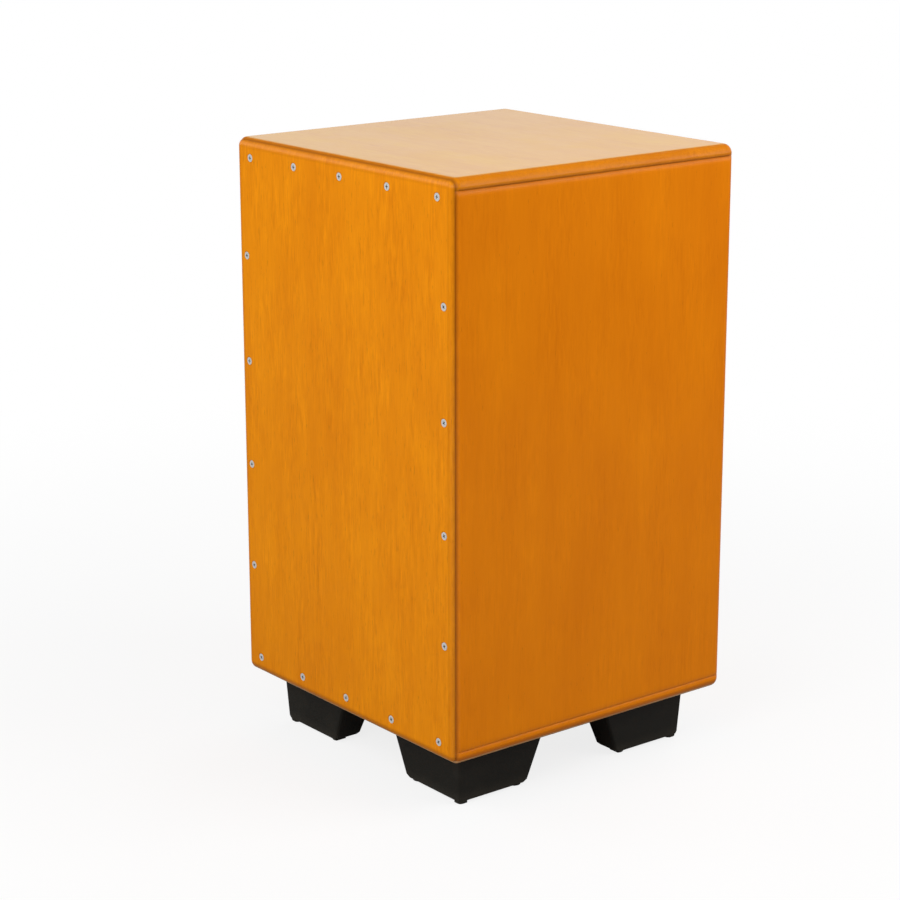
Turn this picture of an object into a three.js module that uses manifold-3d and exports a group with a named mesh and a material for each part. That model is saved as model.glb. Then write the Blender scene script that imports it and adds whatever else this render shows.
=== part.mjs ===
// Snare cajon: a box drum played by hand on a thin front plate, the tapa. It has a sound hole
// in the back, four rubber corner feet and, behind the tapa, a snare bar that swings on two
// brackets and is held by wing bolts.
// Millimetres, +Z up. The tapa faces -Y. The origin lies on the floor, below the middle of the box.

import * as THREE from 'three';
import { mergeVertices } from 'three/addons/utils/BufferGeometryUtils.js';
import Module from 'manifold-3d';

const wasm = await Module();
wasm.setup();

// The box
const bodyWidth = 300;
const bodyDepth = 300;
const bodyHeight = 481;
const tapaThickness = 3;
const topThickness = 10;
const bottomThickness = 11;
const sideThickness = 9;
const backThickness = 4;
const edgeRadius = 8;
const grooveRadius = 2;
const tapaGrooveDepth = 2.6;
const glueGap = 0.3;
const rebateWidth = 5;
const backSink = 1.5;
const backCornerRadius = 3;
const backEdgeChamfer = 0.5;

// The sound hole in the back
const soundHoleRadius = 60;
const soundHoleDrop = 150;
const soundHoleRounding = 1.5;

// The battens that the tapa is screwed to
const battenWidth = 14;
const battenDepth = 20;
const battenEdgeRadius = 1.5;

// The tapa's screws
const tapaRowScrews = 5;
const tapaSideScrews = 4;
const cornerScrewInset = 21.5;
const topScrewInset = 16.5;
const bottomScrewInset = 15.5;
const sideScrewInset = 13.5;
const sideScrewSpacing = 93;
const tapaScrewHeadRadius = 3.5;
const tapaScrewHeadHeight = 2;
const tapaScrewRimHeight = 0.3;
const tapaScrewShankRadius = 1.6;
const tapaScrewLength = 16;
const tapaScrewSink = 0.15;
const screwHoleClearance = 0.2;
const screwTipLength = 3;
const recessSpan = 3.6;
const recessWidth = 0.9;
const recessDepth = 1.2;

// The corner feet: each is a three-cornered rubber block with its right angle outwards
const footHeight = 49;
const footInset = 23;
const footLeg = 94;
const footEndWidth = 32;
const footEndSlope = 0.38;
const footInnerSlope = 0.1;
const footDraft = 2.5;
const soleChamferHeight = 5;
const soleChamferInset = 1.5;
const soleChamferEnd = 6;
const footCornerRadius = 3;
const soleRecess = 2.5;
const cornerPadRadius = 5.5;
const endPadRadius = 6;
const footFloor = 12;
const footScrewEndRoom = 20;
const footScrewInset = 21;
const footScrewHeadRadius = 4.5;
const footScrewHeadHeight = 3;
const footScrewShankRadius = 2;
const footScrewBite = 8;
const counterboreRadius = 6;

// The snare bar and what carries it
const barEndRoom = 39;
const barHeight = 24;
const barDepth = 20;
const barEdgeRadius = 3;
const snareLean = THREE.MathUtils.degToRad(20);
const pivotDrop = 60;
const bracketThickness = 2;
const bracketWidth = 30;
const bracketWallRoom = 7;
const bracketBendRadius = 2;
const runningGap = 0.3;
const bracketScrewHeadRadius = 3.4;
const bracketScrewHeadHeight = 1.8;
const bracketScrewShankRadius = 1.6;
const bracketScrewLength = 10;
const bracketScrewSpacing = 16;

// The wing bolts and the threaded inserts in the bar's ends
const boltRadius = 3;
const boltBite = 16;
const boltHoleClearance = 0.3;
const boltCollarRadius = 7;
const boltCollarHeight = 1.5;
const boltHubRadius = 5;
const boltHubHeight = 9;
const boltHubTaper = 1;
const boltEdge = 0.5;
const wingSpan = 30;
const wingTipRadius = 4.5;
const wingThickness = 3;
const wingRise = 4;
const wingRoundShare = 0.75;
const insertLength = 14;
const insertRadius = 5;
const insertFlangeRadius = 7;
const insertFlangeHeight = 1;
const insertSeat = 0.2;

// The snare wires
const fanCount = 3;
const wiresPerFan = 9;
const wireRadius = 1;
const wireReach = 100;
const wireStart = 3;
const fanGap = 8;
const fanEndRoom = 7;
const stripMargin = 3.4;
const stripHeight = 16;
const stripThickness = 0.8;
const stripDrop = 1;
const solderDepthShare = 0.4;
const contactGap = 0.3;
const boltTipRoom = 4;
const fanScrewDrop = 4;
const fanScrewHeadRadius = 2.8;
const fanScrewHeadHeight = 1.8;
const fanScrewShankRadius = 1.2;
const fanScrewLength = 12;

// How finely curves are cut, and small lengths that all shapes share
const cornerSteps = 3;
const roundoverSteps = 5;
const grooveSteps = 2;
const flareSteps = 3;
const holeSegments = 12;
const screwSegments = 10;
const soundHoleSegments = 48;
const roundSegments = 18;
const wireSides = 6;
const overrun = 1;
const leastRadius = 0.2;
const mergeDistance = 1e-4;

// Worked out from the sizes above
const halfWidth = bodyWidth / 2;
const halfDepth = bodyDepth / 2;
const tapaBack = -halfDepth + tapaThickness;
const caseFront = tapaBack + glueGap;
const innerFloor = bottomThickness + glueGap;
const innerCeiling = bodyHeight - topThickness - glueGap;
const innerHalfWidth = halfWidth - sideThickness;
const rebateSide = halfWidth - sideThickness + rebateWidth;
const rebateBottom = bottomThickness - rebateWidth;
const rebateTop = bodyHeight - topThickness + rebateWidth;
const backFace = halfDepth - backSink;
const soleReach = footLeg - footEndSlope * (footHeight - soleChamferHeight) - soleChamferEnd;
const footScrewReach = soleReach - footScrewEndRoom;
const barLength = 2 * (innerHalfWidth - barEndRoom);
const bracketFoot = barEndRoom - bracketWallRoom;
const fanWidth = (barLength - 2 * fanEndRoom - (fanCount - 1) * fanGap) / fanCount;
const fanPitch = fanWidth + fanGap;
const wireSpan = fanWidth - 2 * stripMargin;
const fanScrewSpacing = fanWidth - 2 * (boltBite + boltTipRoom - fanEndRoom);
const wireCentre = barDepth / 2 + glueGap + stripThickness + wireRadius * solderDepthShare;
const wireFront = wireCentre + wireRadius;
const tipReach = wireReach * Math.sin(snareLean) + wireFront * Math.cos(snareLean);
const pivotY = tapaBack + contactGap + tipReach;
const pivotZ = bodyHeight - topThickness - pivotDrop;
const bracketInner = barLength / 2 + runningGap;
const bracketOuter = bracketInner + bracketThickness;

const finish = (color, roughness, metalness) =>
  new THREE.MeshStandardMaterial({ color, roughness, metalness });
const finishes = {
  tapa: finish(0xe08a1c, 0.35, 0),
  seat: finish(0xe0a868, 0.3, 0),
  case: finish(0xd07a14, 0.35, 0),
  batten: finish(0xd9b98a, 0.75, 0),
  back: finish(0xd8801c, 0.45, 0),
  rubber: finish(0x23201c, 0.85, 0),
  screw: finish(0xc9ccd0, 0.3, 1),
  bracket: finish(0xb4b8bd, 0.4, 1),
  brass: finish(0xc9a24a, 0.35, 1),
  bar: finish(0xc89a62, 0.6, 0),
  snare: finish(0xc4c6c8, 0.25, 1),
};

// Joining and cutting

// A closed geometry as a solid; a solid is passed through.
function asSolid(shape) {
  if (!shape.isBufferGeometry) return shape;
  const bare = shape.clone();
  bare.deleteAttribute('normal');
  bare.deleteAttribute('uv');
  const merged = mergeVertices(bare, mergeDistance);
  const corners = merged.index.array;
  const kept = [];
  for (let i = 0; i < corners.length; i += 3) {
    const [a, b, c] = [corners[i], corners[i + 1], corners[i + 2]];
    if (a !== b && b !== c && c !== a) kept.push(a, b, c);
  }
  return new wasm.Manifold(new wasm.Mesh({
    numProp: 3,
    vertProperties: new Float32Array(merged.attributes.position.array),
    triVerts: new Uint32Array(kept),
  }));
}

const join = (shape, ...others) =>
  others.flat().reduce((whole, other) => whole.add(asSolid(other)), asSolid(shape));
const cut = (shape, ...tools) =>
  tools.flat().reduce((left, tool) => left.subtract(asSolid(tool)), asSolid(shape));
const common = (shape, ...others) =>
  others.flat().reduce((left, other) => left.intersect(asSolid(other)), asSolid(shape));

// A solid as a geometry with flat faces.
function asGeometry(shape) {
  if (shape.isBufferGeometry) return shape;
  const mesh = shape.getMesh();
  const places = new Float32Array(mesh.numVert * 3);
  for (let i = 0; i < mesh.numVert; i += 1) {
    const start = i * mesh.numProp;
    places.set(mesh.vertProperties.subarray(start, start + 3), i * 3);
  }
  const geometry = new THREE.BufferGeometry();
  geometry.setAttribute('position', new THREE.BufferAttribute(places, 3));
  geometry.setIndex(new THREE.BufferAttribute(mesh.triVerts, 1));
  const faceted = geometry.toNonIndexed();
  faceted.computeVertexNormals();
  return faceted;
}

// A named mesh. Its shape is drawn in the parent's frame and hung on its own origin.
function piece(parent, name, shape, material, origin = new THREE.Vector3()) {
  const geometry = asGeometry(shape).translate(-origin.x, -origin.y, -origin.z);
  const mesh = new THREE.Mesh(geometry, material.clone());
  mesh.name = name;
  mesh.position.copy(origin);
  parent.add(mesh);
  return mesh;
}

// Outlines and basic forms

const spread = (count, span) =>
  Array.from({ length: count }, (_, i) => (count > 1 ? (i / (count - 1) - 0.5) * span : 0));

// The angles from nothing to a quarter turn.
const quarterTurns = (steps) =>
  Array.from({ length: steps + 1 }, (_, k) => (k / steps) * (Math.PI / 2));

// A convex outline, anticlockwise, whose corners are rounded to the given radii.
function roundedOutline(corners, radii) {
  return corners.flatMap((corner, i) => {
    const before = corners.at(i - 1).clone().sub(corner).normalize();
    const after = corners[(i + 1) % corners.length].clone().sub(corner).normalize();
    const half = Math.acos(before.dot(after)) / 2;
    const radius = radii[i];
    const bisector = before.clone().add(after).normalize();
    const centre = corner.clone().addScaledVector(bisector, radius / Math.sin(half));
    const start = corner.clone().addScaledVector(before, radius / Math.tan(half)).sub(centre);
    const turn = Math.PI - 2 * half;
    return Array.from({ length: cornerSteps + 1 }, (_, k) =>
      start.clone().rotateAround(new THREE.Vector2(), (turn * k) / cornerSteps).add(centre));
  });
}

function rectangle(left, bottom, right, top, radii) {
  const corners = [[left, bottom], [right, bottom], [right, top], [left, top]];
  return roundedOutline(corners.map(([x, y]) => new THREE.Vector2(x, y)), radii);
}

// A closed body through outlines of one point count, each at its own level along +Z.
function loft(rings) {
  const count = rings[0].outline.length;
  const places = rings.flatMap(({ outline, level }) => outline.flatMap((p) => [p.x, p.y, level]));
  const faces = [];
  rings.slice(1).forEach((_, ring) => {
    const low = ring * count;
    const high = low + count;
    for (let i = 0; i < count; i += 1) {
      const next = (i + 1) % count;
      faces.push(low + i, low + next, high + next, low + i, high + next, high + i);
    }
  });
  const lastRing = (rings.length - 1) * count;
  THREE.ShapeUtils.triangulateShape(rings[0].outline, []).forEach(([a, b, c]) => faces.push(c, b, a));
  THREE.ShapeUtils.triangulateShape(rings.at(-1).outline, []).forEach(([a, b, c]) =>
    faces.push(lastRing + a, lastRing + b, lastRing + c));
  const geometry = new THREE.BufferGeometry();
  geometry.setAttribute('position', new THREE.Float32BufferAttribute(places, 3));
  geometry.setIndex(faces);
  return geometry;
}

// A block between two corners.
function block(low, high) {
  const size = high.clone().sub(low);
  const centre = high.clone().add(low).multiplyScalar(0.5);
  return new THREE.BoxGeometry(size.x, size.y, size.z).translate(centre.x, centre.y, centre.z);
}

const at = (x, y, z) => new THREE.Vector3(x, y, z);

// A turned form about Z from [radius, height] pairs that start and end on the axis.
function turned(profile, segments) {
  const points = profile.map(([radius, height]) => new THREE.Vector2(radius, height));
  return new THREE.LatheGeometry(points, segments).rotateX(Math.PI / 2);
}

// A round bar or hole from one height to another, about Z.
const peg = (radius, low, high, segments = holeSegments) =>
  turned([[0, low], [radius, low], [radius, high], [0, high]], segments);

// Turns a form that stands along Z so that its +Z end points along -Y, +Y, +X or -X.
const towardsFront = (geometry) => geometry.rotateX(Math.PI / 2);
const towardsBack = (geometry) => geometry.rotateX(-Math.PI / 2);
const towardsRight = (geometry) => geometry.rotateY(Math.PI / 2);
const towardsLeft = (geometry) => geometry.rotateY(-Math.PI / 2);

// The cross of a driver's recess, cut down from a head's top face.
function driverRecess(top, span, width, depth) {
  const bar = () => new THREE.BoxGeometry(span, width, 2 * depth);
  return [bar(), bar().rotateZ(Math.PI / 2)].map((slot) => slot.translate(0, 0, top));
}

// A wood screw along Z, its head's top at zero and its tip down.
function countersunkScrew({ headRadius, headHeight, rimHeight, shankRadius, length }) {
  const body = turned([
    [0, -length],
    [shankRadius, -length + screwTipLength],
    [shankRadius, -headHeight],
    [headRadius, -rimHeight],
    [headRadius, 0],
    [0, 0],
  ], screwSegments);
  return cut(body, driverRecess(0, recessSpan, recessWidth, recessDepth));
}

// A pan-head screw along Z: the head stands on zero and the shank points down.
function panScrew({ headRadius, headHeight, shankRadius, length }) {
  const shoulder = headHeight / 2;
  const crown = headRadius / 2;
  return turned([
    [0, -length],
    [shankRadius, -length + screwTipLength],
    [shankRadius, 0],
    [headRadius, 0],
    [headRadius, shoulder],
    [crown + crown / 2, headHeight - shoulder / 4],
    [crown, headHeight],
    [0, headHeight],
  ], screwSegments);
}

// The case

// The box's outline in plan, drawn in by an inset.
const planOutline = (inset) => {
  const radius = Math.max(edgeRadius - inset, leastRadius);
  const [x, y] = [halfWidth - inset, halfDepth - inset];
  return rectangle(-x, -y, x, y, Array(4).fill(radius));
};

// The box's outline from the front, drawn in by an inset.
const frontOutline = (inset) => {
  const radius = Math.max(edgeRadius - inset, leastRadius);
  const x = halfWidth - inset;
  return rectangle(-x, inset, x, bodyHeight - inset, Array(4).fill(radius));
};

// Plan outlines for a rounded edge, each with its height below or above the edge's start.
const roundedRings = (radius, steps) => quarterTurns(steps).map((turn) => ({
  outline: planOutline(radius * (1 - Math.cos(turn))),
  rise: radius * Math.sin(turn),
}));

// The whole box as one rounded blank. At the given levels, two rounded edges meet in a groove.
function blank(grooveLevels) {
  const upwards = (rings, start) => rings.map(({ outline, rise }) => ({ outline, level: start + rise }));
  const downwards = (rings, start) =>
    rings.map(({ outline, rise }) => ({ outline, level: start - rise })).reverse();
  const edge = roundedRings(edgeRadius, roundoverSteps);
  const joint = roundedRings(grooveRadius, grooveSteps);
  const grooves = grooveLevels.flatMap((level) => [
    ...upwards(joint, level - grooveRadius),
    ...downwards(joint, level + grooveRadius).slice(1),
  ]);
  return loft([
    ...downwards(edge, edgeRadius),
    ...grooves,
    ...upwards(edge, bodyHeight - edgeRadius),
  ]);
}

// A body along +Y through front outlines, each [place, inset].
const frontLoft = (rings) =>
  towardsBack(loft(rings.map(([place, inset]) => ({
    outline: frontOutline(inset).map((p) => new THREE.Vector2(p.x, -p.y)).reverse(),
    level: place,
  }))));

// The tapa's screws as [x, z] pairs: two rows and two columns.
const columnMiddle = (bodyHeight - topScrewInset + bottomScrewInset) / 2;
const rowPlaces = (z) =>
  spread(tapaRowScrews, bodyWidth - 2 * cornerScrewInset).map((x) => [x, z]);
const columnPlaces = (side) =>
  spread(tapaSideScrews, (tapaSideScrews - 1) * sideScrewSpacing)
    .map((z) => [side * (halfWidth - sideScrewInset), columnMiddle + z]);
const tapaScrewPlaces = {
  top: rowPlaces(bodyHeight - topScrewInset),
  bottom: rowPlaces(bottomScrewInset),
  left: columnPlaces(-1),
  right: columnPlaces(1),
};

const screwHole = (radius, low, high) => peg(radius + screwHoleClearance, low, high, screwSegments);

// A countersunk hole along Z: its mouth is at zero and it runs down.
function countersink({ headRadius, headHeight, rimHeight, shankRadius }, depth) {
  const mouth = headRadius + screwHoleClearance;
  const bore = shankRadius + screwHoleClearance;
  return turned([
    [0, -depth],
    [bore, -depth],
    [bore, -headHeight - screwHoleClearance],
    [mouth, -rimHeight - screwHoleClearance],
    [mouth, overrun],
    [0, overrun],
  ], screwSegments);
}

const tapaScrew = {
  headRadius: tapaScrewHeadRadius,
  headHeight: tapaScrewHeadHeight,
  rimHeight: tapaScrewRimHeight,
  shankRadius: tapaScrewShankRadius,
  length: tapaScrewLength,
};

function addTapa(box) {
  const slab = block(
    at(-halfWidth - overrun, -halfDepth - overrun, -overrun),
    at(halfWidth + overrun, tapaBack, bodyHeight + overrun),
  );
  const backChamfer = frontLoft([
    [-halfDepth - 2 * overrun, -overrun],
    [tapaBack - tapaGrooveDepth - overrun, -overrun],
    [tapaBack, tapaGrooveDepth],
  ]);
  const holes = Object.values(tapaScrewPlaces).flat().map(([x, z]) =>
    towardsFront(countersink(tapaScrew, tapaThickness + overrun))
      .translate(x, -halfDepth + tapaScrewSink, z));
  const plate = cut(common(blank([]), slab, backChamfer), holes);
  piece(box, 'tapa', plate, finishes.tapa, at(0, tapaBack, bodyHeight / 2));
}

// An outline of the rebate for the back, drawn in by an inset, standing along +Y.
const backOutline = (inset) => rectangle(
  -rebateSide + inset,
  rebateBottom + inset,
  rebateSide - inset,
  rebateTop - inset,
  Array(4).fill(backCornerRadius),
);

// The case behind the tapa as one form, still to be parted into its boards.
function caseForm() {
  const behindTapa = frontLoft([
    [caseFront, tapaGrooveDepth],
    [caseFront + tapaGrooveDepth + overrun, -overrun],
    [halfDepth + overrun, -overrun],
  ]);
  const rebate = towardsFront(loft([
    { outline: backOutline(0), level: -halfDepth - overrun },
    { outline: backOutline(0), level: -backFace + backThickness + glueGap },
  ]));
  const jointMiddle = glueGap / 2;
  const grooved = blank([bottomThickness + jointMiddle, bodyHeight - topThickness - jointMiddle]);
  return cut(common(grooved, behindTapa), rebate);
}

function addCase(box) {
  const form = caseForm();
  const board = (low, high) => common(form, block(
    at(-halfWidth - overrun, caseFront, low),
    at(halfWidth + overrun, halfDepth + overrun, high),
  ));
  const topBoard = cut(board(bodyHeight - topThickness, bodyHeight + overrun), bracketPilots());
  piece(box, 'top_board', topBoard, finishes.seat, at(0, 0, bodyHeight - topThickness));
  const bottomBoard = cut(board(-overrun, bottomThickness), footPilots());
  piece(box, 'bottom_board', bottomBoard, finishes.case);
  [['left', -1], ['right', 1]].forEach(([hand, side]) => {
    const outer = side * (halfWidth + overrun);
    const inner = side * innerHalfWidth;
    const panel = common(form, block(
      at(Math.min(outer, inner), caseFront, innerFloor),
      at(Math.max(outer, inner), halfDepth + overrun, innerCeiling),
    ));
    piece(box, `${hand}_side_panel`, panel, finishes.case, at(inner, 0, bodyHeight / 2));
  });
}

function addBack(box) {
  const rings = [
    { outline: backOutline(glueGap + backEdgeChamfer), level: 0 },
    { outline: backOutline(glueGap), level: backEdgeChamfer },
    { outline: backOutline(glueGap), level: backThickness },
  ];
  const panel = towardsFront(loft(rings)).translate(0, backFace, 0);
  const lip = soundHoleRounding;
  const flare = quarterTurns(flareSteps).map((turn) =>
    [soundHoleRadius + lip * (1 - Math.cos(turn)), -lip * (1 - Math.sin(turn))]);
  const hole = turned([
    [0, -backThickness - overrun],
    [soundHoleRadius, -backThickness - overrun],
    ...flare,
    [soundHoleRadius + lip, overrun],
    [0, overrun],
  ], soundHoleSegments);
  const placed = towardsBack(hole).translate(0, backFace, bodyHeight - soundHoleDrop);
  const back = cut(panel, placed);
  piece(box, 'back_panel', back, finishes.back, at(0, backFace, bodyHeight - soundHoleDrop));
}

// A batten along Z from low to high, its section centred on the axis.
const battenBlank = (sizeX, sizeY, low, high) => {
  const outline = rectangle(
    -sizeX / 2, -sizeY / 2, sizeX / 2, sizeY / 2, Array(4).fill(battenEdgeRadius));
  return loft([{ outline, level: low }, { outline, level: high }]);
};

function addBattens(box) {
  const middleY = caseFront + battenDepth / 2;
  const pilots = (places) => places.map(([x, z]) =>
    towardsFront(screwHole(tapaScrewShankRadius, -tapaScrewLength - overrun, overrun))
      .translate(x, -halfDepth + tapaThickness, z));
  const across = innerHalfWidth - glueGap;
  const rows = [
    ['front_top_batten', innerCeiling - glueGap - battenWidth / 2, tapaScrewPlaces.top],
    ['front_bottom_batten', innerFloor + glueGap + battenWidth / 2, tapaScrewPlaces.bottom],
  ];
  rows.forEach(([name, z, places]) => {
    const bar = towardsRight(battenBlank(battenWidth, battenDepth, -across, across))
      .translate(0, middleY, z);
    piece(box, name, cut(bar, pilots(places)), finishes.batten, at(0, middleY, z));
  });
  const endInset = battenWidth + 2 * glueGap;
  [['left', -1], ['right', 1]].forEach(([hand, side]) => {
    const x = side * (across - battenWidth / 2);
    const bar = battenBlank(battenWidth, battenDepth, innerFloor + endInset, innerCeiling - endInset)
      .translate(x, middleY, 0);
    const batten = cut(bar, pilots(tapaScrewPlaces[hand]));
    piece(box, `front_${hand}_batten`, batten, finishes.batten, at(x, middleY, bodyHeight / 2));
  });
}

function addTapaScrews(box) {
  Object.entries(tapaScrewPlaces).forEach(([row, places]) => {
    places.forEach(([x, z], i) => {
      const screw = piece(box, `tapa_screw_${row}_${i + 1}`, countersunkScrew(tapaScrew), finishes.screw);
      screw.position.set(x, -halfDepth + tapaScrewSink, z);
      screw.rotation.x = Math.PI / 2;
    });
  });
}

// The feet

// A foot's outline at a depth below the box, in the frame of its own outer corner.
function footOutline(depth) {
  const shoulder = footHeight - soleChamferHeight;
  const draft = footDraft * Math.min(depth / shoulder, 1);
  const chamferShare = Math.max((depth - shoulder) / soleChamferHeight, 0);
  const upper = Math.min(depth, shoulder);
  const edge = draft + soleChamferInset * chamferShare;
  const reach = footLeg - footEndSlope * upper - soleChamferEnd * chamferShare;
  const width = footEndWidth - footInnerSlope * upper - soleChamferInset * chamferShare;
  const corners = [[edge, edge], [reach, edge], [reach, width], [width, reach], [edge, reach]];
  return roundedOutline(
    corners.map(([x, y]) => new THREE.Vector2(x, y)),
    Array(corners.length).fill(footCornerRadius),
  );
}

const footScrewPlaces = [[footScrewReach, footScrewInset], [footScrewInset, footScrewReach]];

// A foot whose outer corner is at the origin, its legs along +X and +Y, its top at zero.
function footForm() {
  const depths = [footHeight, footHeight - soleChamferHeight, glueGap];
  const body = loft(depths.map((depth) => ({ outline: footOutline(depth), level: -depth })));
  const [soleCorner] = footOutline(footHeight);
  const near = soleCorner.y + footCornerRadius / 2;
  const far = soleReach - footCornerRadius;
  const recess = block(
    at(-overrun, -overrun, -footHeight - overrun),
    at(footLeg, footLeg, -footHeight + soleRecess),
  );
  const pads = [
    [near, near, cornerPadRadius],
    [far, near + footCornerRadius, endPadRadius],
    [near + footCornerRadius, far, endPadRadius],
  ].map(([x, y, radius]) =>
    peg(radius, -footHeight - 2 * overrun, -footHeight + soleRecess + overrun).translate(x, y, 0));
  const holes = footScrewPlaces.flatMap(([x, y]) => [
    peg(counterboreRadius, -footHeight - overrun, -footFloor).translate(x, y, 0),
    screwHole(footScrewShankRadius, -footFloor - overrun, overrun).translate(x, y, 0),
  ]);
  return cut(body, cut(recess, pads), holes);
}

// Each foot's name, place and turn about Z.
const cornerX = halfWidth - footInset;
const cornerY = halfDepth - footInset;
const footCorners = [
  ['front_left', at(-cornerX, -cornerY, 0), 0],
  ['front_right', at(cornerX, -cornerY, 0), Math.PI / 2],
  ['rear_right', at(cornerX, cornerY, 0), Math.PI],
  ['rear_left', at(-cornerX, cornerY, 0), -Math.PI / 2],
];

// The blind holes for the foot screws, in the box's frame.
function footPilots() {
  return footCorners.flatMap(([, place, turn]) => footScrewPlaces.map(([x, y]) =>
    screwHole(footScrewShankRadius, -overrun, footScrewBite + screwHoleClearance)
      .translate(x, y, 0)
      .rotateZ(turn)
      .translate(place.x, place.y, 0)));
}

function addFeet(box) {
  footCorners.forEach(([corner, place, turn]) => {
    const carrier = new THREE.Group();
    carrier.position.copy(place);
    carrier.rotation.z = turn;
    box.add(carrier);
    piece(carrier, `${corner}_foot`, footForm(), finishes.rubber);
    footScrewPlaces.forEach(([x, y], i) => {
      const form = panScrew({
        headRadius: footScrewHeadRadius,
        headHeight: footScrewHeadHeight,
        shankRadius: footScrewShankRadius,
        length: footFloor + glueGap + footScrewBite,
      });
      const screw = piece(carrier, `${corner}_foot_screw_${i + 1}`, form, finishes.screw);
      screw.rotation.x = Math.PI;
      screw.position.set(x, y, -footFloor - glueGap);
    });
  });
}

// The snare brackets, drawn on the pivot's axis with their feet towards +X

const ceilingAbovePivot = pivotDrop - glueGap;
const bracketScrew = {
  headRadius: bracketScrewHeadRadius,
  headHeight: bracketScrewHeadHeight,
  rimHeight: screwHoleClearance,
  shankRadius: bracketScrewShankRadius,
  length: bracketScrewLength,
};
const bracketScrewX = bracketOuter + (bracketFoot - bracketThickness) / 2 + bracketBendRadius;
const bracketScrewPlaces = spread(2, bracketScrewSpacing);

// One right-hand bracket in the frame of the pivot.
function bracketForm() {
  const [inner, outer] = [bracketInner, bracketOuter];
  const foot = bracketInner + bracketFoot;
  const top = ceilingAbovePivot;
  const under = top - bracketThickness;
  const low = -bracketWidth / 2;
  const bend = bracketBendRadius;
  const outerBend = bend + bracketThickness;
  const profile = new THREE.Shape();
  profile.moveTo(inner, low);
  profile.lineTo(outer, low);
  profile.lineTo(outer, under - bend);
  profile.absarc(outer + bend, under - bend, bend, Math.PI, Math.PI / 2, true);
  profile.lineTo(foot, under);
  profile.lineTo(foot, top);
  profile.lineTo(inner + outerBend, top);
  profile.absarc(inner + outerBend, top - outerBend, outerBend, Math.PI / 2, Math.PI, false);
  const settings = { depth: bracketWidth, bevelEnabled: false, curveSegments: cornerSteps };
  const strap = new THREE.ExtrudeGeometry(profile, settings)
    .translate(0, 0, -bracketWidth / 2)
    .rotateX(Math.PI / 2);
  const tongue = new THREE.Shape();
  tongue.absarc(0, 0, bracketWidth / 2, Math.PI, 0, false);
  tongue.lineTo(bracketWidth / 2, top + overrun);
  tongue.lineTo(-bracketWidth / 2, top + overrun);
  const sideView = new THREE.ExtrudeGeometry(tongue, {
    depth: bracketFoot + 2 * overrun,
    bevelEnabled: false,
    curveSegments: holeSegments,
  });
  sideView.rotateX(Math.PI / 2).rotateZ(Math.PI / 2).translate(inner - overrun, 0, 0);
  const pivotHole = towardsRight(
    peg(boltRadius + boltHoleClearance, inner - overrun, outer + overrun));
  const screwHoles = bracketScrewPlaces.map((y) =>
    countersink(bracketScrew, bracketThickness + overrun)
      .rotateX(Math.PI)
      .translate(bracketScrewX, y, under));
  return cut(common(strap, sideView), pivotHole, screwHoles);
}

// The blind holes for the bracket screws, in the box's frame.
function bracketPilots() {
  const low = bodyHeight - topThickness;
  const depth = bracketScrewLength - bracketThickness;
  return [-1, 1].flatMap((side) => bracketScrewPlaces.map((y) =>
    screwHole(bracketScrewShankRadius, low - overrun, low + depth)
      .translate(side * bracketScrewX, pivotY + y, 0)));
}

function addBrackets(pivot) {
  [['left', Math.PI], ['right', 0]].forEach(([hand, turn]) => {
    const carrier = new THREE.Group();
    carrier.rotation.z = turn;
    pivot.add(carrier);
    piece(carrier, `${hand}_snare_bracket`, bracketForm(), finishes.bracket);
    bracketScrewPlaces.forEach((y, i) => {
      const name = `${hand}_bracket_screw_${i + 1}`;
      const screw = piece(carrier, name, countersunkScrew(bracketScrew), finishes.screw);
      screw.rotation.x = Math.PI;
      screw.position.set(bracketScrewX, y, ceilingAbovePivot - bracketThickness);
    });
  });
}

// The snare bar with its inserts, wing bolts and wires, in a frame that leans with the bar

const fanPlaces = spread(fanCount, (fanCount - 1) * fanPitch);
const stripLow = -barHeight / 2 + stripDrop;
const fanScrewZ = stripLow + stripHeight - fanScrewDrop;
const fanScrewXs = fanPlaces.map((x) => spread(2, fanScrewSpacing).map((dx) => x + dx));

function barForm() {
  const half = barLength / 2;
  const outline = rectangle(
    -barHeight / 2, -barDepth / 2, barHeight / 2, barDepth / 2, Array(4).fill(barEdgeRadius));
  const bar = towardsRight(loft([{ outline, level: -half }, { outline, level: half }]));
  const socket = (turn) => turn(turned([
    [0, half - insertLength - overrun],
    [insertRadius + insertSeat, half - insertLength - overrun],
    [insertRadius + insertSeat, half - insertFlangeHeight - insertSeat],
    [insertFlangeRadius + insertSeat, half - insertFlangeHeight - insertSeat],
    [insertFlangeRadius + insertSeat, half + overrun],
    [0, half + overrun],
  ], roundSegments));
  const wells = [towardsLeft, towardsRight].map((turn) => turn(
    peg(boltRadius + boltHoleClearance, half - boltBite - overrun, half)));
  const pilots = fanScrewXs.flat().map((x) =>
    towardsFront(screwHole(fanScrewShankRadius, -fanScrewLength, overrun))
      .translate(x, -barDepth / 2, fanScrewZ));
  return cut(bar, [towardsLeft, towardsRight].map(socket), wells, pilots);
}

// A sleeve with a flange, from its inner end up to its flange's face at zero, along Z.
function insertForm() {
  const bore = boltRadius + boltHoleClearance;
  const sleeve = turned([
    [0, -insertLength],
    [insertRadius, -insertLength],
    [insertRadius, -insertFlangeHeight],
    [insertFlangeRadius, -insertFlangeHeight],
    [insertFlangeRadius, 0],
    [0, 0],
  ], roundSegments);
  return cut(sleeve, peg(bore, -insertLength - overrun, overrun));
}

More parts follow.
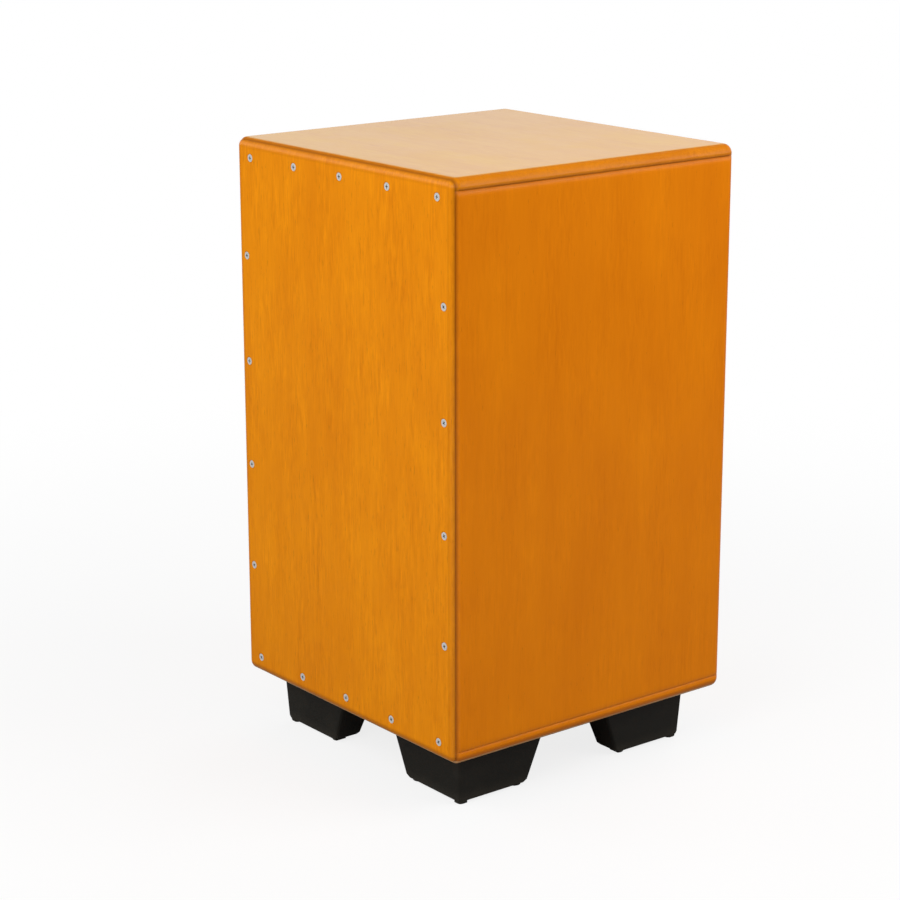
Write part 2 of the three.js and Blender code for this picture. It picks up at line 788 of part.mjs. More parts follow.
// A wing bolt along Z: its collar stands on zero, its shank points down.
function wingBoltForm() {
  const shank = bracketThickness + 2 * runningGap + boltBite;
  const wingFoot = boltCollarHeight + boltEdge;
  const spindle = turned([
    [0, -shank],
    [boltRadius - boltEdge, -shank],
    [boltRadius, -shank + boltEdge],
    [boltRadius, 0],
    [boltCollarRadius, 0],
    [boltCollarRadius, boltCollarHeight],
    [boltHubRadius, wingFoot],
    [boltHubRadius - boltHubTaper, boltHubHeight],
    [boltRadius, boltHubHeight + boltEdge],
    [0, boltHubHeight + boltEdge],
  ], roundSegments);
  const tip = wingSpan / 2 - wingTipRadius;
  const rise = boltHubHeight + wingRise - wingTipRadius;
  const wings = [1, -1].map((side) => {
    const ear = new THREE.Shape();
    ear.moveTo(0, wingFoot);
    ear.lineTo(boltHubRadius, wingFoot);
    ear.quadraticCurveTo(tip, wingFoot, tip + wingTipRadius, rise);
    ear.absarc(tip, rise, wingTipRadius, 0, Math.PI * wingRoundShare, false);
    ear.quadraticCurveTo(boltHubRadius + boltHubTaper, boltHubHeight, 0, boltHubHeight);
    const blade = new THREE.ExtrudeGeometry(ear, {
      depth: wingThickness,
      bevelEnabled: false,
      curveSegments: cornerSteps + 1,
    }).translate(0, 0, -wingThickness / 2).rotateX(Math.PI / 2);
    return side > 0 ? blade : blade.rotateZ(Math.PI);
  });
  return join(spindle, wings);
}

// One fan of snare wires, soldered to its end strip, with x measured from its middle.
function fanForm() {
  const back = -barDepth / 2 - glueGap;
  const strip = block(
    at(-fanWidth / 2, back - stripThickness, stripLow),
    at(fanWidth / 2, back, stripLow + stripHeight),
  );
  const holes = spread(2, fanScrewSpacing).map((x) =>
    towardsFront(screwHole(fanScrewShankRadius, -overrun, 2 * overrun))
      .translate(x, back, fanScrewZ));
  const wires = spread(wiresPerFan, wireSpan).map((x) =>
    peg(wireRadius, -wireReach, -wireStart, wireSides).translate(x, -wireCentre, 0));
  return join(cut(strip, holes), wires);
}

function addSnareBar(pivot) {
  const holder = new THREE.Group();
  holder.rotation.x = -snareLean;
  pivot.add(holder);
  piece(holder, 'snare_bar', barForm(), finishes.bar);
  [['left', -1], ['right', 1]].forEach(([hand, side]) => {
    const insert = piece(holder, `${hand}_threaded_insert`, insertForm(), finishes.brass);
    insert.position.x = side * (barLength / 2);
    insert.rotation.y = side * (Math.PI / 2);
    const bolt = piece(holder, `${hand}_wing_bolt`, wingBoltForm(), finishes.screw);
    bolt.position.x = side * (bracketOuter + runningGap);
    bolt.rotation.y = side * (Math.PI / 2);
  });
  fanPlaces.forEach((x, i) => {
    const fan = piece(holder, `snare_fan_${i + 1}`, fanForm(), finishes.snare);
    fan.position.x = x;
    fanScrewXs[i].forEach((screwX, k) => {
      const form = panScrew({
        headRadius: fanScrewHeadRadius,
        headHeight: fanScrewHeadHeight,
        shankRadius: fanScrewShankRadius,
        length: fanScrewLength,
      });
      const screw = piece(holder, `fan_${i + 1}_screw_${k + 1}`, form, finishes.screw);
      screw.rotation.x = Math.PI / 2;
      screw.position.set(screwX, -barDepth / 2 - 2 * glueGap - stripThickness, fanScrewZ);
    });
  });
}

// The whole cajon

const cajon = new THREE.Group();
const box = new THREE.Group();
box.position.z = footHeight;
cajon.add(box);
addTapa(box);
addCase(box);
addBack(box);
addBattens(box);
addTapaScrews(box);
addFeet(box);
const pivot = new THREE.Group();
pivot.position.set(0, pivotY, pivotZ);
box.add(pivot);
addBrackets(pivot);
addSnareBar(pivot);

export default cajon;
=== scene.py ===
"""Snare cajon, dressed: lacquered plywood case, rubber corner feet, screws and inner snare unit.

Metres, +Z up, the playing plate faces -Y. Each class makes and finishes one sub-assembly.
"""

import logging
import math
from collections.abc import Iterable, Sequence
from dataclasses import dataclass
from enum import Enum

import bmesh
import bpy
from mathutils import Matrix, Vector


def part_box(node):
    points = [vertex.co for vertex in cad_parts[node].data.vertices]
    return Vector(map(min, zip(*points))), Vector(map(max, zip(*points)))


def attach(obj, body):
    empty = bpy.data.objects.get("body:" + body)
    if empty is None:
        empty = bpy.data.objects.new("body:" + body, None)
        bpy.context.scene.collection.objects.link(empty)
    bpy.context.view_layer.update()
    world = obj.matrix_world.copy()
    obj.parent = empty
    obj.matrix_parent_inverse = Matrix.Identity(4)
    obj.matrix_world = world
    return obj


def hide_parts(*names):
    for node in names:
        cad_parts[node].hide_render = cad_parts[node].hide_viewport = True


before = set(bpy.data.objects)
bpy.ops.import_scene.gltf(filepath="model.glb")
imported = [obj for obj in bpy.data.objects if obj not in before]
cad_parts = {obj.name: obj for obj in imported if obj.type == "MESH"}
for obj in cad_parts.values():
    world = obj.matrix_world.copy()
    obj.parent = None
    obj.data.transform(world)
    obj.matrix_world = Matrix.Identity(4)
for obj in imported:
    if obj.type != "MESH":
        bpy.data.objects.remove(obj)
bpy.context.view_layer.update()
log = logging.getLogger("cajon")

MM = 0.001
SAME_POINT = 1e-7
Colour = tuple[float, float, float]
Mesh = bmesh.types.BMesh
Edge = bmesh.types.BMEdge
Node = bpy.types.Node
Socket = bpy.types.NodeSocket
Sockets = bpy.types.bpy_prop_collection
Feed = Socket | float | Sequence[float]


class Body(Enum):
    """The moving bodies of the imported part."""

    CASE = "box"
    SNARE_HOLDER = "snare_holder"
    LEFT_WING_BOLT = "left_wing_bolt"
    RIGHT_WING_BOLT = "right_wing_bolt"


class Grain(Enum):
    """Which way a board's grain runs, as the turn in degrees that brings it upright."""

    UPRIGHT = (0.0, 0.0, 0.0)
    ACROSS = (0.0, 90.0, 0.0)


class Cut(Enum):
    """What stays where one mesh cuts another."""

    REST = "DIFFERENCE"
    SHARED = "INTERSECT"


class Hand(Enum):
    """Left and right, as the sign of X."""

    LEFT = -1
    RIGHT = 1

    @property
    def word(self) -> str:
        """The hand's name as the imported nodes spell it."""
        return self.name.lower()


# Mesh helpers


def edge_angle(edge: Edge) -> float:
    """The angle in degrees between an edge's two faces, or 0 on a rim."""
    return math.degrees(edge.calc_face_angle(0.0))


def edges_along_y(bm: Mesh) -> list[Edge]:
    """The edges of a mesh that run through its thickness along Y."""
    return [e for e in bm.edges if abs(e.verts[0].co.y - e.verts[1].co.y) > 0.5 * MM]


def lies_across(edge: Edge, y: float) -> bool:
    """Tells whether both ends of an edge lie on a plane across Y."""
    return all(abs(v.co.y - y) < 0.01 * MM for v in edge.verts)


def turned(degrees: float, axis: str = "X") -> Matrix:
    """A turn about an axis."""
    return Matrix.Rotation(math.radians(degrees), 4, axis)


def move(bm: Mesh, place: Matrix) -> None:
    """Moves a whole mesh."""
    bmesh.ops.transform(bm, matrix=place, verts=bm.verts)


def link(name: str, data: bpy.types.ID) -> bpy.types.Object:
    """Puts a new object into the scene.

    Args:
        name: Its name.
        data: What it shows: a mesh, a lamp or a camera.

    Returns:
        The object.
    """
    made = bpy.data.objects.new(name, data)
    bpy.context.scene.collection.objects.link(made)
    return made


def settle(name: str, bm: Mesh) -> bpy.types.Mesh:
    """Turns a bmesh into a mesh.

    Args:
        name: The mesh's name.
        bm: The bmesh. It is freed.

    Returns:
        A new mesh.
    """
    mesh = bpy.data.meshes.new(name)
    bm.to_mesh(mesh)
    bm.free()
    return mesh


def round_edges(bm: Mesh, edges: Iterable[Edge], width: float, steps: int = 2) -> None:
    """Rounds edges off.

    Args:
        bm: The mesh to change.
        edges: The edges to round.
        width: The rounding's width in metres.
        steps: The number of steps across the rounding.
    """
    bmesh.ops.bevel(
        bm, geom=list(edges), offset=width, offset_type="OFFSET", affect="EDGES",
        segments=steps, profile=0.5, clamp_overlap=True, material=-1,
    )


def cube(low: Sequence[float], high: Sequence[float]) -> Mesh:
    """Makes a block between two corners.

    Args:
        low: The lowest corner.
        high: The highest corner.

    Returns:
        A new mesh.
    """
    lowest, highest = Vector(low), Vector(high)
    place = Matrix.Translation((lowest + highest) / 2)
    bm = bmesh.new()
    bmesh.ops.create_cube(bm, size=1.0, matrix=place @ Matrix.Diagonal((*(highest - lowest), 1.0)))
    return bm


def cut_level(
    bm: Mesh, point: Sequence[float], normal: Sequence[float], clear: bool
) -> list[bmesh.types.BMVert | Edge]:
    """Cuts a mesh along a plane.

    Args:
        bm: The mesh to cut.
        point: A point on the plane.
        normal: The plane's normal.
        clear: Whether the part on the normal's side goes.

    Returns:
        The points and edges of the cut.
    """
    return bmesh.ops.bisect_plane(
        bm, geom=[*bm.verts, *bm.edges, *bm.faces], dist=SAME_POINT,
        plane_co=point, plane_no=normal, clear_outer=clear,
    )["geom_cut"]


def keep_side(bm: Mesh, point: Sequence[float], normal: Sequence[float]) -> None:
    """Cuts a closed mesh by a plane, keeps what lies behind the normal and closes the cut.

    Args:
        bm: The mesh to cut.
        point: A point on the plane.
        normal: The plane's normal, towards the part that goes.
    """
    cut = cut_level(bm, point, normal, clear=True)
    bmesh.ops.edgenet_fill(bm, edges=[e for e in cut if isinstance(e, Edge) and e.is_boundary])


def carve(bm: Mesh, cutter: Mesh, keep: Cut = Cut.REST) -> Mesh:
    """Takes one closed mesh out of another, or keeps what both share.

    Args:
        bm: The mesh that stays. It is freed.
        cutter: The mesh that cuts. It is freed.
        keep: Whether the rest stays or what both share.

    Returns:
        The carved mesh.
    """
    holders = []
    for source in (bm, cutter):
        bmesh.ops.recalc_face_normals(source, faces=source.faces)
        holders.append(link("carving", settle("carving", source)))
    cut = holders[0].modifiers.new("cut", "BOOLEAN")
    cut.operation, cut.solver, cut.object = keep.value, "EXACT", holders[1]
    bpy.context.view_layer.update()
    result = holders[0].evaluated_get(bpy.context.evaluated_depsgraph_get())
    carved = bmesh.new()
    carved.from_mesh(result.to_mesh())
    for holder in holders:
        mesh = holder.data
        bpy.data.objects.remove(holder)
        bpy.data.meshes.remove(mesh)
    bmesh.ops.remove_doubles(carved, verts=carved.verts, dist=SAME_POINT)
    flat = math.radians(0.4)
    bmesh.ops.dissolve_limit(carved, angle_limit=flat, verts=carved.verts, edges=carved.edges)
    return carved


def cad_copy(node: str, angle: float = 180.0, width: float = 0.0, steps: int = 2) -> Mesh:
    """Copies a CAD node's mesh with its flat faces whole, and rounds its sharp edges.

    Args:
        node: The CAD node.
        angle: Edges over this angle in degrees are rounded.
        width: The rounding's width in metres.
        steps: The number of steps across the rounding.

    Returns:
        A new mesh.
    """
    bm = bmesh.new()
    bm.from_mesh(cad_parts[node].data)
    bmesh.ops.remove_doubles(bm, verts=bm.verts, dist=0.002 * MM)
    flat = math.radians(0.5)
    bmesh.ops.dissolve_limit(bm, angle_limit=flat, verts=bm.verts, edges=bm.edges)
    sharp = [e for e in bm.edges if edge_angle(e) > angle]
    if sharp:
        round_edges(bm, sharp, width, steps)
    return bm


def merge(bm: Mesh, other: Mesh) -> None:
    """Adds a mesh to another one as a loose shell.

    Args:
        bm: The mesh that grows.
        other: The mesh that is added. It is freed.
    """
    mesh = settle("joining", other)
    bm.from_mesh(mesh)
    bpy.data.meshes.remove(mesh)


def revolve(profile: Sequence[tuple[float, float]], steps: int) -> Mesh:
    """Spins an outline about Z.

    Args:
        profile: Points as radius and height, from axis to axis.
        steps: The number of steps in the full turn.

    Returns:
        A new closed mesh.
    """
    bm = bmesh.new()
    points = [bm.verts.new((radius, 0.0, height)) for radius, height in profile]
    edges = [bm.edges.new(pair) for pair in zip(points, points[1:])]
    bmesh.ops.spin(
        bm, geom=[*points, *edges], cent=(0, 0, 0), axis=(0, 0, 1),
        angle=math.tau, steps=steps, use_merge=True,
    )
    bmesh.ops.remove_doubles(bm, verts=bm.verts, dist=SAME_POINT)
    bmesh.ops.recalc_face_normals(bm, faces=bm.faces)
    return bm


# Shader helpers


class Graph:
    """Adds nodes and links to one shader tree."""

    def __init__(self, tree: bpy.types.NodeTree) -> None:
        """Keeps the tree that is drawn in."""
        self.tree = tree

    def feed(self, socket: Socket, value: Feed) -> None:
        """Links a socket, or sets its value.

        Args:
            socket: The input.
            value: The socket that feeds it, or a number, a vector or a colour.
        """
        if isinstance(value, Socket):
            self.tree.links.new(value, socket)
        else:
            socket.default_value = (*value, 1.0) if socket.type == "RGBA" else value

    def fill(self, node: Node, **inputs: Feed) -> Node:
        """Feeds a node.

        Args:
            node: The node.
            inputs: Values or sockets by input name, with spaces as underscores.

        Returns:
            The node.
        """
        for name, value in inputs.items():
            self.feed(node.inputs[name.replace("_", " ")], value)
        return node

    def add(self, kind: str, **inputs: Feed) -> Node:
        """Adds a node of a kind and feeds it."""
        return self.fill(self.tree.nodes.new(kind), **inputs)

    def math(self, operation: str, *values: Feed) -> Socket:
        """Adds a Math node.

        Args:
            operation: Blender's name of the operation.
            values: The numbers or sockets that it works on.

        Returns:
            Its result.
        """
        node = self.add("ShaderNodeMath")
        node.operation = operation
        for socket, value in zip(node.inputs, values):
            self.feed(socket, value)
        return node.outputs[0]

    def times(self, first: Feed, second: Feed) -> Socket:
        """Multiplies two numbers."""
        return self.math("MULTIPLY", first, second)

    def least(self, first: Feed, second: Feed) -> Socket:
        """The lower of two numbers."""
        return self.math("MINIMUM", first, second)

    def most(self, first: Feed, second: Feed) -> Socket:
        """The higher of two numbers."""
        return self.math("MAXIMUM", first, second)

    def off(self, value: Feed, level: Feed) -> Socket:
        """How far a number is from a level."""
        return self.math("ABSOLUTE", self.math("SUBTRACT", value, level))

    def swing(self, noise: Feed, amount: float) -> Socket:
        """Centres a noise about zero and scales it."""
        return self.times(self.math("SUBTRACT", noise, 0.5), amount)

    def ramp(
        self, value: Feed, low: Feed, high: Feed, start: float = 0.0, end: float = 1.0
    ) -> Socket:
        """Maps a value smoothly from one span to another and clamps it.

        Args:
            value: What is mapped.
            low: Where its span starts.
            high: Where its span ends.
            start: What low becomes.
            end: What high becomes.

        Returns:
            The mapped value.
        """
        node = self.add(
            "ShaderNodeMapRange", Value=value, From_Min=low, From_Max=high, To_Min=start, To_Max=end
        )
        node.interpolation_type = "SMOOTHSTEP"
        return node.outputs["Result"]

    def blend(self, share: Feed, first: Feed, second: Feed, colours: bool = True) -> Socket:
        """Mixes two colours or two numbers.

        Args:
            share: The share of the second.
            first: A colour or number.
            second: Another one.
            colours: Whether they are colours.

        Returns:
            The mixture.
        """
        node = self.add("ShaderNodeMix")
        node.clamp_factor = True
        node.data_type = "RGBA" if colours else "FLOAT"
        for place, value in zip((0, 6, 7) if colours else (0, 2, 3), (share, first, second)):
            self.feed(node.inputs[place], value)
        return node.outputs[2 if colours else 0]

    def between(self, share: Feed, first: Feed, second: Feed) -> Socket:
        """Mixes two numbers by a share."""
        return self.blend(share, first, second, colours=False)

    def noise(
        self, place: Feed, scale: Feed, detail: float = 2.0, roughness: float = 0.5,
        stretch: float = 1.0,
    ) -> Socket:
        """Adds a noise pattern.

        Args:
            place: Where it is looked up.
            scale: Its scale across the grain.
            detail: The number of its octaves.
            roughness: How strong the finer octaves are.
            stretch: Its scale along Z, as a share of the one across.

        Returns:
            Its value, 0.5 on average.
        """
        if stretch != 1.0:
            place = self.add("ShaderNodeMapping", Vector=place, Scale=(1, 1, stretch)).outputs[0]
        return self.add(
            "ShaderNodeTexNoise", Vector=place, Scale=scale, Detail=detail, Roughness=roughness
        ).outputs[0]

    def mixed(self, share: Feed, first: Node, second: Node) -> Node:
        """Mixes two shaders.

        Args:
            share: The share of the second.
            first: A shader node.
            second: Another one.

        Returns:
            The node that mixes them.
        """
        node = self.add("ShaderNodeMixShader", Fac=share)
        self.feed(node.inputs[1], first.outputs[0])
        self.feed(node.inputs[2], second.outputs[0])
        return node


class Pattern(Enum):
    """The shared shader node groups."""

    WOOD = "wood_grain"
    DEPTH = "depth_below_surface"
    LAYERS = "plywood_layers"
    HANDLING = "handling_marks"
    METAL = "metal_marks"
    MOULDED = "moulded_grain"


class PatternBook:
    """Makes each shared node group once."""

    def __init__(self) -> None:
        """Makes all groups."""
        self.groups: dict[Pattern, bpy.types.NodeTree] = {}
        self._wood()
        self._depth()
        self._layers()
        self._handling()
        self._metal()
        self._moulded()

    def _start(
        self, pattern: Pattern, outputs: Sequence[str], **inputs: float
    ) -> tuple[Graph, Sockets, Node]:
        """Starts a group that has a vector and some numbers as its inputs.

        Args:
            pattern: Which group.
            outputs: The names of the values that it gives.
            inputs: The numbers' defaults by name, with spaces as underscores.

        Returns:
            Its graph, the sockets of what goes in and the node that takes what it gives.
        """
        tree = bpy.data.node_groups.new(pattern.value, "ShaderNodeTree")
        tree.interface.new_socket("Vector", in_out="INPUT", socket_type="NodeSocketVector")
        for name, default in inputs.items():
            socket = tree.interface.new_socket(
                name.replace("_", " "), in_out="INPUT", socket_type="NodeSocketFloat"
            )
            socket.default_value = default
        for name in outputs:
            tree.interface.new_socket(name, in_out="OUTPUT", socket_type="NodeSocketFloat")
        self.groups[pattern] = tree
        graph = Graph(tree)
        return graph, graph.add("NodeGroupInput").outputs, graph.add("NodeGroupOutput")

    def _wood(self) -> None:
        """Straight fine grain along Z: Tone from dark to light, short Pores, Height for a bump."""
        graph, given, end = self._start(
            Pattern.WOOD, ("Tone", "Pores", "Height"), Figure=1.0, Fine_Share=1.0, Pore_Share=0.5
        )
        place = given["Vector"]
        shift = graph.swing(graph.noise(place, 6.0, detail=1.0, stretch=0.25), 6 * MM)
        offset = graph.add("ShaderNodeCombineXYZ", X=shift, Y=shift).outputs[0]
        along = graph.add("ShaderNodeMapping", Vector=place, Location=offset).outputs[0]
        fine = graph.noise(along, 640.0, roughness=0.55, stretch=0.12)
        streak = graph.noise(along, 250.0, roughness=0.55, stretch=0.10)
        band = graph.noise(along, 38.0, stretch=0.10)
        cloud = graph.noise(place, 13.0, detail=3.0, roughness=0.55, stretch=0.6)
        presence = graph.ramp(graph.noise(place, 34.0, stretch=0.45), 0.32, 0.66, 0.45, 1.35)
        grains = graph.math("ADD", graph.swing(fine, 0.42), graph.swing(streak, 0.34))
        grains = graph.times(graph.times(grains, presence), given["Fine Share"])
        broad = graph.math("ADD", graph.swing(band, 0.22), graph.swing(cloud, 0.30))
        strength = graph.times(given["Figure"], 3.6)
        tone = graph.math("MULTIPLY_ADD", graph.math("ADD", grains, broad), strength, 0.5)
        dash = graph.noise(along, 900.0, roughness=0.6, stretch=0.11)
        reach = graph.math("MULTIPLY_ADD", given["Pore Share"], -0.14, 0.70)
        pores = graph.ramp(dash, reach, graph.math("ADD", reach, 0.07))
        height = graph.math("MULTIPLY_ADD", pores, -0.7, graph.times(fine, 0.5))
        graph.fill(end, Tone=graph.least(graph.most(tone, 0.0), 1.0), Pores=pores, Height=height)

    def _depth(self) -> None:
        """How far a point lies inside the case's outer box, and how near it is to the joints."""
        graph, given, end = self._start(
            Pattern.DEPTH,
            ("Depth", "From Side", "From Front", "From Back", "From Top", "From Bottom",
             "Board Joint", "Plate Joint", "Panel Joint"),
        )
        x, y, z = graph.add("ShaderNodeSeparateXYZ", Vector=given["Vector"]).outputs
        side = graph.math("SUBTRACT", Case.width / 2, graph.math("ABSOLUTE", x))
        front = graph.math("ADD", Case.depth / 2, y)
        rear = graph.math("SUBTRACT", Case.depth / 2, y)
        top = graph.math("SUBTRACT", Case.top, z)
        bottom = graph.math("SUBTRACT", z, Case.bottom)
        level = graph.least(side, graph.least(front, rear))
        uneven = graph.noise(given["Vector"], 130.0)
        reach = graph.math("MULTIPLY_ADD", uneven, 2.4 * MM, 2.2 * MM)
        near_base = graph.math("ADD", graph.off(bottom, Case.base_thickness), 0.8 * MM)
        near_board = graph.least(graph.off(top, Case.seat_thickness), near_base)
        near_plate = graph.off(front, Case.plate_thickness + 0.15 * MM)
        off_panel = graph.most(
            graph.math("SUBTRACT", Case.side_thickness - Case.rebate, side),
            graph.most(graph.math("SUBTRACT", Case.seat_thickness - Case.rebate, top),
                       graph.math("SUBTRACT", Case.base_thickness - Case.rebate, bottom)),
        )
        near_panel = graph.math("ABSOLUTE", off_panel)
        seam = graph.ramp(near_panel, 0.2 * MM, graph.times(reach, 0.4), 1.0, 0.0)
        plate = graph.ramp(near_plate, 0.2 * MM, reach, 1.0, 0.0)
        graph.fill(
            end, Depth=graph.least(level, graph.least(top, bottom)), From_Side=side,
            From_Front=front, From_Back=rear, From_Top=top, From_Bottom=bottom,
            Board_Joint=graph.ramp(near_board, 0.0, reach, 1.0, 0.0),
            Plate_Joint=graph.math("POWER", plate, 2.0),
            Panel_Joint=graph.times(seam, graph.ramp(rear, 1.8 * MM, 3.0 * MM, 1.0, 0.0)),
        )

    def _layers(self) -> None:
        """Plywood's plies on a cut edge: Ply alternates, and Glue marks the lines between."""
        graph, given, end = self._start(Pattern.LAYERS, ("Ply", "Glue"), Level=0.0)
        ripple = graph.swing(graph.noise(given["Vector"], 160.0), 0.5 * MM)
        plies = graph.math("DIVIDE", graph.math("ADD", ripple, given["Level"]), 1.3 * MM)
        odd = graph.math("GREATER_THAN", graph.math("FRACT", graph.times(plies, 0.5)), 0.5)
        within = graph.off(graph.math("FRACT", plies), 0.5)
        graph.fill(end, Ply=odd, Glue=graph.ramp(within, 0.40, 0.48))

    def _handling(self) -> None:
        """Marks of use in a lacquer: Haze for the roughness and Ripple for the bump."""
        graph, given, end = self._start(Pattern.HANDLING, ("Haze", "Ripple"), Scale=1.0)
        place, scale = given["Vector"], given["Scale"]
        cloud = graph.noise(place, graph.times(scale, 14.0), detail=4.0, roughness=0.6)
        ripple = graph.noise(place, graph.times(scale, 90.0))
        graph.fill(end, Haze=graph.ramp(cloud, 0.35, 0.7), Ripple=ripple)

    def _metal(self) -> None:
        """Fine drawn lines and dull patches on metal: Lines and Patches."""
        graph, given, end = self._start(Pattern.METAL, ("Lines", "Patches"))
        lines = graph.noise(given["Vector"], 2600.0, roughness=0.6, stretch=0.03)
        patches = graph.noise(given["Vector"], 120.0, detail=4.0, roughness=0.6)
        graph.fill(end, Lines=lines, Patches=graph.ramp(patches, 0.35, 0.7))

    def _moulded(self) -> None:
        """The fine skin of moulded rubber: Skin for the bump and Bloom for pale patches."""
        graph, given, end = self._start(Pattern.MOULDED, ("Skin", "Bloom"))
        cell = graph.add("ShaderNodeTexVoronoi", Vector=given["Vector"], Scale=1150.0)
        cell.feature = "SMOOTH_F1"
        grit = graph.times(graph.noise(given["Vector"], 2200.0, roughness=0.6), 0.5)
        bloom = graph.noise(given["Vector"], 34.0, detail=5.0, roughness=0.62)
        skin = graph.math("MULTIPLY_ADD", cell.outputs["Distance"], 0.7, grit)
        graph.fill(end, Skin=skin, Bloom=graph.ramp(bloom, 0.45, 0.75))


class Paint(Graph):
    """A material's tree, with its object coordinates and its Principled shader."""

    def __init__(self, name: str, book: PatternBook) -> None:
        """Starts a material.

        Args:
            name: The material's name.
            book: The shared patterns.
        """
        self.material = bpy.data.materials.new(name)
        self.material.use_nodes = True
        super().__init__(self.material.node_tree)
        self.book = book
        self.place = self.add("ShaderNodeTexCoord").outputs["Object"]

    def pattern(self, pattern: Pattern, **inputs: Feed) -> Sockets:
        """Places a shared pattern.

        Args:
            pattern: Which one.
            inputs: Values or sockets by input name, if not the usual ones.

        Returns:
            What it gives.
        """
        node = self.add("ShaderNodeGroup")
        node.node_tree = self.book.groups[pattern]
        return self.fill(node, **{"Vector": self.place, **inputs}).outputs

    def along(self, grain: Grain) -> Socket:
        """The object coordinates, turned so that the grain runs along Z."""
        turn = tuple(math.radians(angle) for angle in grain.value)
        return self.add("ShaderNodeMapping", Vector=self.place, Rotation=turn).outputs[0]

    def shade(self, height: Socket, strength: float, distance: float, **inputs: Feed) -> None:
        """Feeds the Principled shader.

        Args:
            height: What the bump follows.
            strength: The bump's strength.
            distance: The bump's depth in metres.
            inputs: Values or sockets by input name, with spaces as underscores.
        """
        bump = self.add("ShaderNodeBump", Strength=strength, Distance=distance, Height=height)
        self.fill(self.tree.nodes["Principled BSDF"], Normal=bump.outputs[0], **inputs)


def darker(colour: Colour, share: float) -> Colour:
    """A colour with less light."""
    return tuple(c * share for c in colour)


# Finishes


